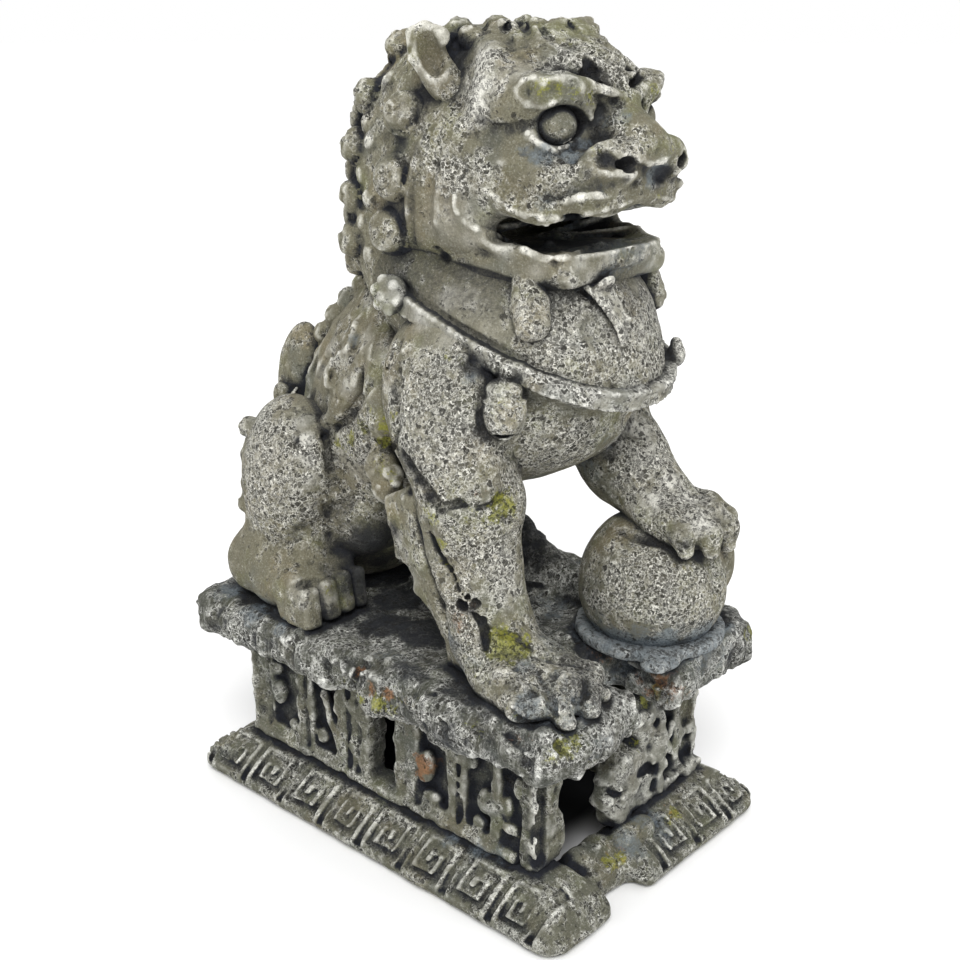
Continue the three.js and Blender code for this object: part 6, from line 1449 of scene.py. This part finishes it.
    # stains
    sp, _ = g.noise(P, 1.1, 4.0, 0.68)
    bl = g.math("MULTIPLY", g.ramp(g.math("ADD", B[2], g.math("MULTIPLY", g.math("SUBTRACT", sp, 0.5), 1.1)), 0.30, 0.95), 0.72)
    col = g.mix(bl, col, g.mix(g.ramp(fine, 0.35, 0.68), (0.092, 0.118, 0.142), (0.245, 0.286, 0.312)))
    ms = g.ramp(g.math("ADD", B[0], g.math("MULTIPLY", g.math("SUBTRACT", sp, 0.5), 2.3)), 0.55, 1.05)
    col = g.mix(g.math("MULTIPLY", ms, 0.80), col, g.mix(g.ramp(fine, 0.3, 0.7), (0.330, 0.318, 0.040), (0.150, 0.165, 0.028)))
    rs = g.ramp(g.math("ADD", B[1], g.math("MULTIPLY", g.math("SUBTRACT", sp, 0.5), 2.0)), 0.55, 1.10)
    col = g.mix(g.math("MULTIPLY", rs, 0.80), col, g.mix(g.ramp(fine, 0.3, 0.7), (0.360, 0.165, 0.070), (0.150, 0.085, 0.040)))
    # the painted shade of the dark channel, then the pits, go on last
    dk = g.ramp(g.math("ADD", C[1], g.math("MULTIPLY", g.math("SUBTRACT", sp, 0.5), 0.8)), 0.20, 1.0)
    col = g.mix(g.math("MULTIPLY", dk, 0.90), col, tuple(c * 0.9 for c in wash_and_shade))
    col = g.mix(g.math("MULTIPLY", hole, 0.92), col, (0.026, 0.025, 0.022))
    g.l.new(col, bsdf.inputs["Base Color"])
    ro = g.math("ADD", rough - 0.05, g.math("MULTIPLY", fine, 0.12))
    g.l.new(ro, bsdf.inputs["Roughness"])
    bsdf.inputs["Specular IOR Level"].default_value = 0.25
    ht = g.math("SUBTRACT", g.math("ADD", g.math("MULTIPLY", rim, 0.30), g.math("MULTIPLY", fine, 0.55)), hole)
    bp = g.new("ShaderNodeBump")
    bp.inputs["Strength"].default_value = 1.0
    bp.inputs["Distance"].default_value = 0.00040 * bump
    g.l.new(ht, bp.inputs["Height"])
    g.l.new(bp.outputs[0], bsdf.inputs["Normal"])
    return m


# ------------------------------------------------------------------ build
SLOT = {"plinth_resin": ("base_course", "wall_right", "wall_left", "wall_rear", "pier_front_right", "pier_front_left"),
        "slab_resin": ("top_slab", "ball_dish"),
        "trim_resin": ("collar", "right_rosette", "left_rosette", "right_bell", "left_bell"),
        "hair_resin": ("mane", "tail", "right_leg_fringe", "right_back_locks", "left_back_locks", "beard_tuft", "right_beard_curl", "left_beard_curl")}
slot_of = {n: s for s, ns in SLOT.items() for n in ns}
WASH_AND_SHADE = (0.018, 0.020, 0.026)
MATS = {
    "lion_resin": resin("lion_resin_paint", (0.204, 0.192, 0.131), (0.865, 0.850, 0.770), WASH_AND_SHADE),
    "hair_resin": resin("hair_resin_paint", (0.226, 0.212, 0.144), (0.840, 0.825, 0.745), WASH_AND_SHADE, pit_bias=0.10, wash_and_shade_gain=1.1),
    "plinth_resin": resin("plinth_resin_paint", (0.150, 0.149, 0.106), (0.860, 0.855, 0.785), WASH_AND_SHADE, pit_bias=0.16, wash_and_shade_gain=1.15),
    "slab_resin": resin("slab_resin_paint", (0.080, 0.082, 0.062), (0.880, 0.880, 0.825), WASH_AND_SHADE, pit_bias=0.30, size=1.1, brush=1.0, streak=0.22),
    "trim_resin": resin("trim_resin_paint", (0.270, 0.262, 0.205), (0.860, 0.850, 0.785), WASH_AND_SHADE, pit_bias=0.06),
}

grid, G, made = sculpt(0.55, 0.42)

seen = settle(G, grid)


def paint(ob, V):
    occ, ridge, N = shade_masks(grid, G, V)
    pit = patch(V, PITTED, 71, 0.5, 5.0) - 0.8 * patch(V, SMOOTH, 72, 0.5, 5.0)
    pit = pit * 0.70 + 0.10 + 0.42 * fbm(V, 8.0, 73, 2)
    if ob.name.startswith(("head", "lower_jaw", "right_ear", "left_ear")):
        ridge = ridge * 1.26
        occ = occ * (0.45 if "ear" in ob.name else 0.92)
        pit = pit - 0.02
    elif slot_of.get(ob.name[:-5], "lion_resin") == "lion_resin":
        pit = pit + 0.05
    pit = np.clip(pit, 0, 1)
    moss = patch(V, MOSS, 75, 0.6, 2.4)
    rust = patch(V, RUST, 76, 0.55, 2.0)
    blue = patch(V, BLUE, 77, 0.45, 4.0, both_sides=False)
    if ob.name.startswith(("top_slab", "ball_dish")):
        blue = np.maximum(blue, 0.45 * np.clip(N[:, 2] * 1.6, 0, 1))
    brown = patch(V, BROWN, 78, 0.6, 5.0)
    # painted shade under the belly, between the legs and inside the mouth
    dark = patch(V, DARK_SHADE, 79, 0.45, 4.0)
    light = patch(V, LIGHT, 80, 0.6, 5.0)
    # painted shade on the faces inside the plinth's hollow
    inner_shade = np.clip((20.6 - np.abs(V[:, 0])) / 1.2, 0, 1) * np.clip((35.0 - np.abs(V[:, 1])) / 1.2, 0, 1) * np.clip((33.6 - V[:, 2]) / 0.8, 0, 1)
    dark = np.maximum(dark, inner_shade)
    # painted shade on the sunk panels of the side walls
    if ob.name.startswith(("wall_right", "wall_left")):
        dark = np.maximum(dark, 0.62 * np.clip((24.9 - np.abs(V[:, 0])) / 1.2, 0, 1))
    # painted shade on the pier faces set back behind the front
    if ob.name.startswith("pier_front"):
        dark = np.maximum(dark, 0.55 * np.clip((V[:, 1] + 38.0) / 1.0, 0, 1))
    if ob.name.startswith("base_course"):
        ridge = ridge * 1.05
        occ = np.clip(occ * 1.1, 0, 1)
        pit = np.clip(pit + 0.08, 0, 1)
    if ob.name.startswith("wall"):
        ridge = ridge * 1.1
    if "back_locks" in ob.name or ob.name.startswith("torso"):
        occ = occ * 0.60
        ridge = np.where(ridge < 0, ridge * 0.6, ridge * 1.3)
        if "back_locks" in ob.name:
            pit = np.clip(pit - 0.22, 0, 1)
    if "hind_leg" in ob.name:
        occ = occ * 0.78
        ridge = np.where(ridge < 0, ridge * 0.7, ridge)
    if ob.name.startswith("ball_dish"):
        occ = occ * 0.5
    if ob.name.startswith("top_slab"):
        dark = np.maximum(dark, np.clip(0.20 + 0.16 * np.clip(N[:, 2] * 3 - 2, 0, 1) + 0.85 * fbm(V * np.array((1.0, 1.0, 0.7)), 5.0, 91, 3), 0, 0.88))
    if ob.name.startswith("ball_cast"):
        pit = np.clip(pit - 0.05, 0, 1)
    moss = np.maximum(0.6 * moss, dab(V, seen["moss"], 81))
    rust = np.maximum(0.6 * rust, dab(V, seen["rust"], 82))
    blue = np.maximum(0.6 * blue, dab(V, seen["blue"], 83, grain=3.0))
    brown = np.maximum(0.7 * brown, dab(V, seen["brown"], 84, grain=3.0))
    # painted shade from the dark spots in the view
    dark = np.maximum(dark, dab(V, seen["dark"], 85, soft=0.8))
    light = np.maximum(0.6 * light, dab(V, seen["light"], 86))
    if ob.name.startswith("base_course"):
        moss = np.maximum(moss, 0.62 * np.clip((1.7 - V[:, 2]) / 1.2, 0, 1))
    if ob.name.startswith("ball_dish"):
        blue = np.maximum(blue, 0.85)
        light = np.maximum(light, 0.79)
    if ob.name.startswith("pier_front_left"):
        dark = dark * 0.5
        light = np.maximum(light, 0.45 * np.clip((-38.0 - V[:, 1]) / 1.0, 0, 1))
    if ob.name.startswith("neck_bib"):
        # painted shade on the upper bib, darker towards the jaw
        dark = np.maximum(dark, 0.52 * np.clip((V[:, 2] - 103.0) / 5.0, 0, 1))
        occ = occ * 0.60
    if ob.name.startswith(("right_foreleg", "left_foreleg")):
        occ = occ * 0.85
    dark = dark * (1 - np.clip((light - 0.90) / 0.10, 0, 1))
    if ob.name.startswith("right_foreleg"):
        low = np.clip((55.0 - V[:, 2]) / 5.0, 0, 1)
        pit = np.clip(pit + 0.42 * low, 0, 1)
        blue = np.maximum(blue, low * np.clip(0.34 + 0.8 * fbm(V, 5.0, 95, 2), 0, 0.8))
        dark = np.maximum(dark, low * np.clip(0.26 + 0.8 * fbm(V, 4.0, 96, 2), 0, 0.7))
        ridge = ridge * (1 + 0.5 * low)
    if ob.name.startswith("beard_tuft"):
        light = np.maximum(light, 0.70)
        ridge = ridge * 1.5
    one = np.ones(len(V))
    for nm, ch in (("form", (occ, np.clip(ridge * 0.5 + 0.5, 0, 1), pit)), ("stain", (moss, rust, blue)), ("tint", (brown, dark, light))):
        a = ob.data.color_attributes.new(nm, "FLOAT_COLOR", "POINT")
        a.data.foreach_set("color", np.stack([*ch, one], 1).astype(np.float32).ravel())


for node, (V, Q) in made.items():
    me = bpy.data.meshes.new(node + "_cast")
    me.vertices.add(len(V))
    me.vertices.foreach_set("co", (V * 0.001).astype(np.float32).ravel())
    me.loops.add(len(Q) * 4)
    me.loops.foreach_set("vertex_index", Q.ravel().astype(np.int32))
    me.polygons.add(len(Q))
    me.polygons.foreach_set("loop_start", np.arange(0, len(Q) * 4, 4, dtype=np.int32))
    me.polygons.foreach_set("use_smooth", np.ones(len(Q), bool))
    me.update(calc_edges=True)
    ob = bpy.data.objects.new(node + "_cast", me)
    bpy.context.scene.collection.objects.link(ob)
    paint(ob, V)
    s = slot_of.get(node, "lion_resin")
    me.materials.append(MATS[s])
    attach(ob, "root")
    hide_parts(node)

# ------------------------------------------------------------------ stage
scene = bpy.context.scene
fm = bpy.data.meshes.new("floor")
S = 14.0
fm.from_pydata([(-S, -S, 0), (S, -S, 0), (S, S, 0), (-S, S, 0)], [], [(0, 1, 2, 3)])
floor = bpy.data.objects.new("floor", fm)
floor.location = (0, 0, -0.0004)
scene.collection.objects.link(floor)
mt = bpy.data.materials.new("floor_paper")
mt.use_nodes = True
g = Net(mt)
b = g.n["Principled BSDF"]
pn, _ = g.noise(g.vec("SCALE", g.new("ShaderNodeTexCoord").outputs["Object"], 1.0), 3.0)
paper = g.mix(g.ramp(pn, 0.3, 0.7), (0.93, 0.93, 0.93), (0.95, 0.95, 0.95))
fx = g.new("ShaderNodeSeparateXYZ")
g.l.new(g.new("ShaderNodeTexCoord").outputs["Object"], fx.inputs[0])
shade = g.math("MULTIPLY", g.ramp(g.math("ABSOLUTE", fx.outputs[0]), 0.0225, 0.0205), g.math("MULTIPLY", g.ramp(fx.outputs[1], -0.0325, -0.0235), g.ramp(fx.outputs[1], 0.0365, 0.0345)))
g.l.new(g.mix(shade, paper, (0.030, 0.030, 0.032)), b.inputs["Base Color"])
b.inputs["Roughness"].default_value = 0.95
b.inputs["Specular IOR Level"].default_value = 0.0
b.inputs["Emission Color"].default_value = (1.0, 1.0, 1.0, 1)
ln = g.new("ShaderNodeVectorMath", operation="LENGTH")
g.l.new(g.new("ShaderNodeTexCoord").outputs["Object"], ln.inputs[0])
g.l.new(g.ramp(ln.outputs["Value"], 0.07, 0.40, 0.0, 0.12), b.inputs["Emission Strength"])
fm.materials.append(mt)

# camera fitted to the plinth's edges
C = np.array((-0.17980, -0.16377, 0.15198))
yaw, pitch, foc = np.radians(48.11), np.radians(18.99), 1309.41
h = np.array((np.sin(yaw), np.cos(yaw), 0.0))
fw = h * np.cos(pitch) + np.array((0, 0, -np.sin(pitch)))
rt = np.array((np.cos(yaw), -np.sin(yaw), 0.0))
up = np.cross(rt, fw)
cd = bpy.data.cameras.new("camera")
cam = bpy.data.objects.new("camera", cd)
cam.matrix_world = Matrix(((rt[0], up[0], -fw[0], C[0]), (rt[1], up[1], -fw[1], C[1]), (rt[2], up[2], -fw[2], C[2]), (0, 0, 0, 1)))
cd.sensor_fit = "HORIZONTAL"
cd.sensor_width = 36.0
cd.lens = 36.0 * foc / 960.0
cd.clip_start = 0.005
scene.collection.objects.link(cam)
scene.camera = cam

w = bpy.data.worlds.new("studio")
scene.world = w
w.use_nodes = True
bg = w.node_tree.nodes["Background"]
bg.inputs[0].default_value = (1.0, 1.0, 1.0, 1)
bg.inputs[1].default_value = 1.0


def soft(name, loc, to, size, watts):
    l = bpy.data.lights.new(name, "AREA")
    l.shape = "DISK"
    l.size = size
    l.energy = watts
    o = bpy.data.objects.new(name, l)
    o.location = loc
    o.rotation_mode = "QUATERNION"
    o.rotation_quaternion = (Vector(to) - Vector(loc)).to_track_quat("-Z", "Y")
    scene.collection.objects.link(o)


soft("key", (-0.52, -0.46, 0.80), (0, 0, 0.08), 0.45, 6.0)
scene.view_settings.view_transform = "Standard"
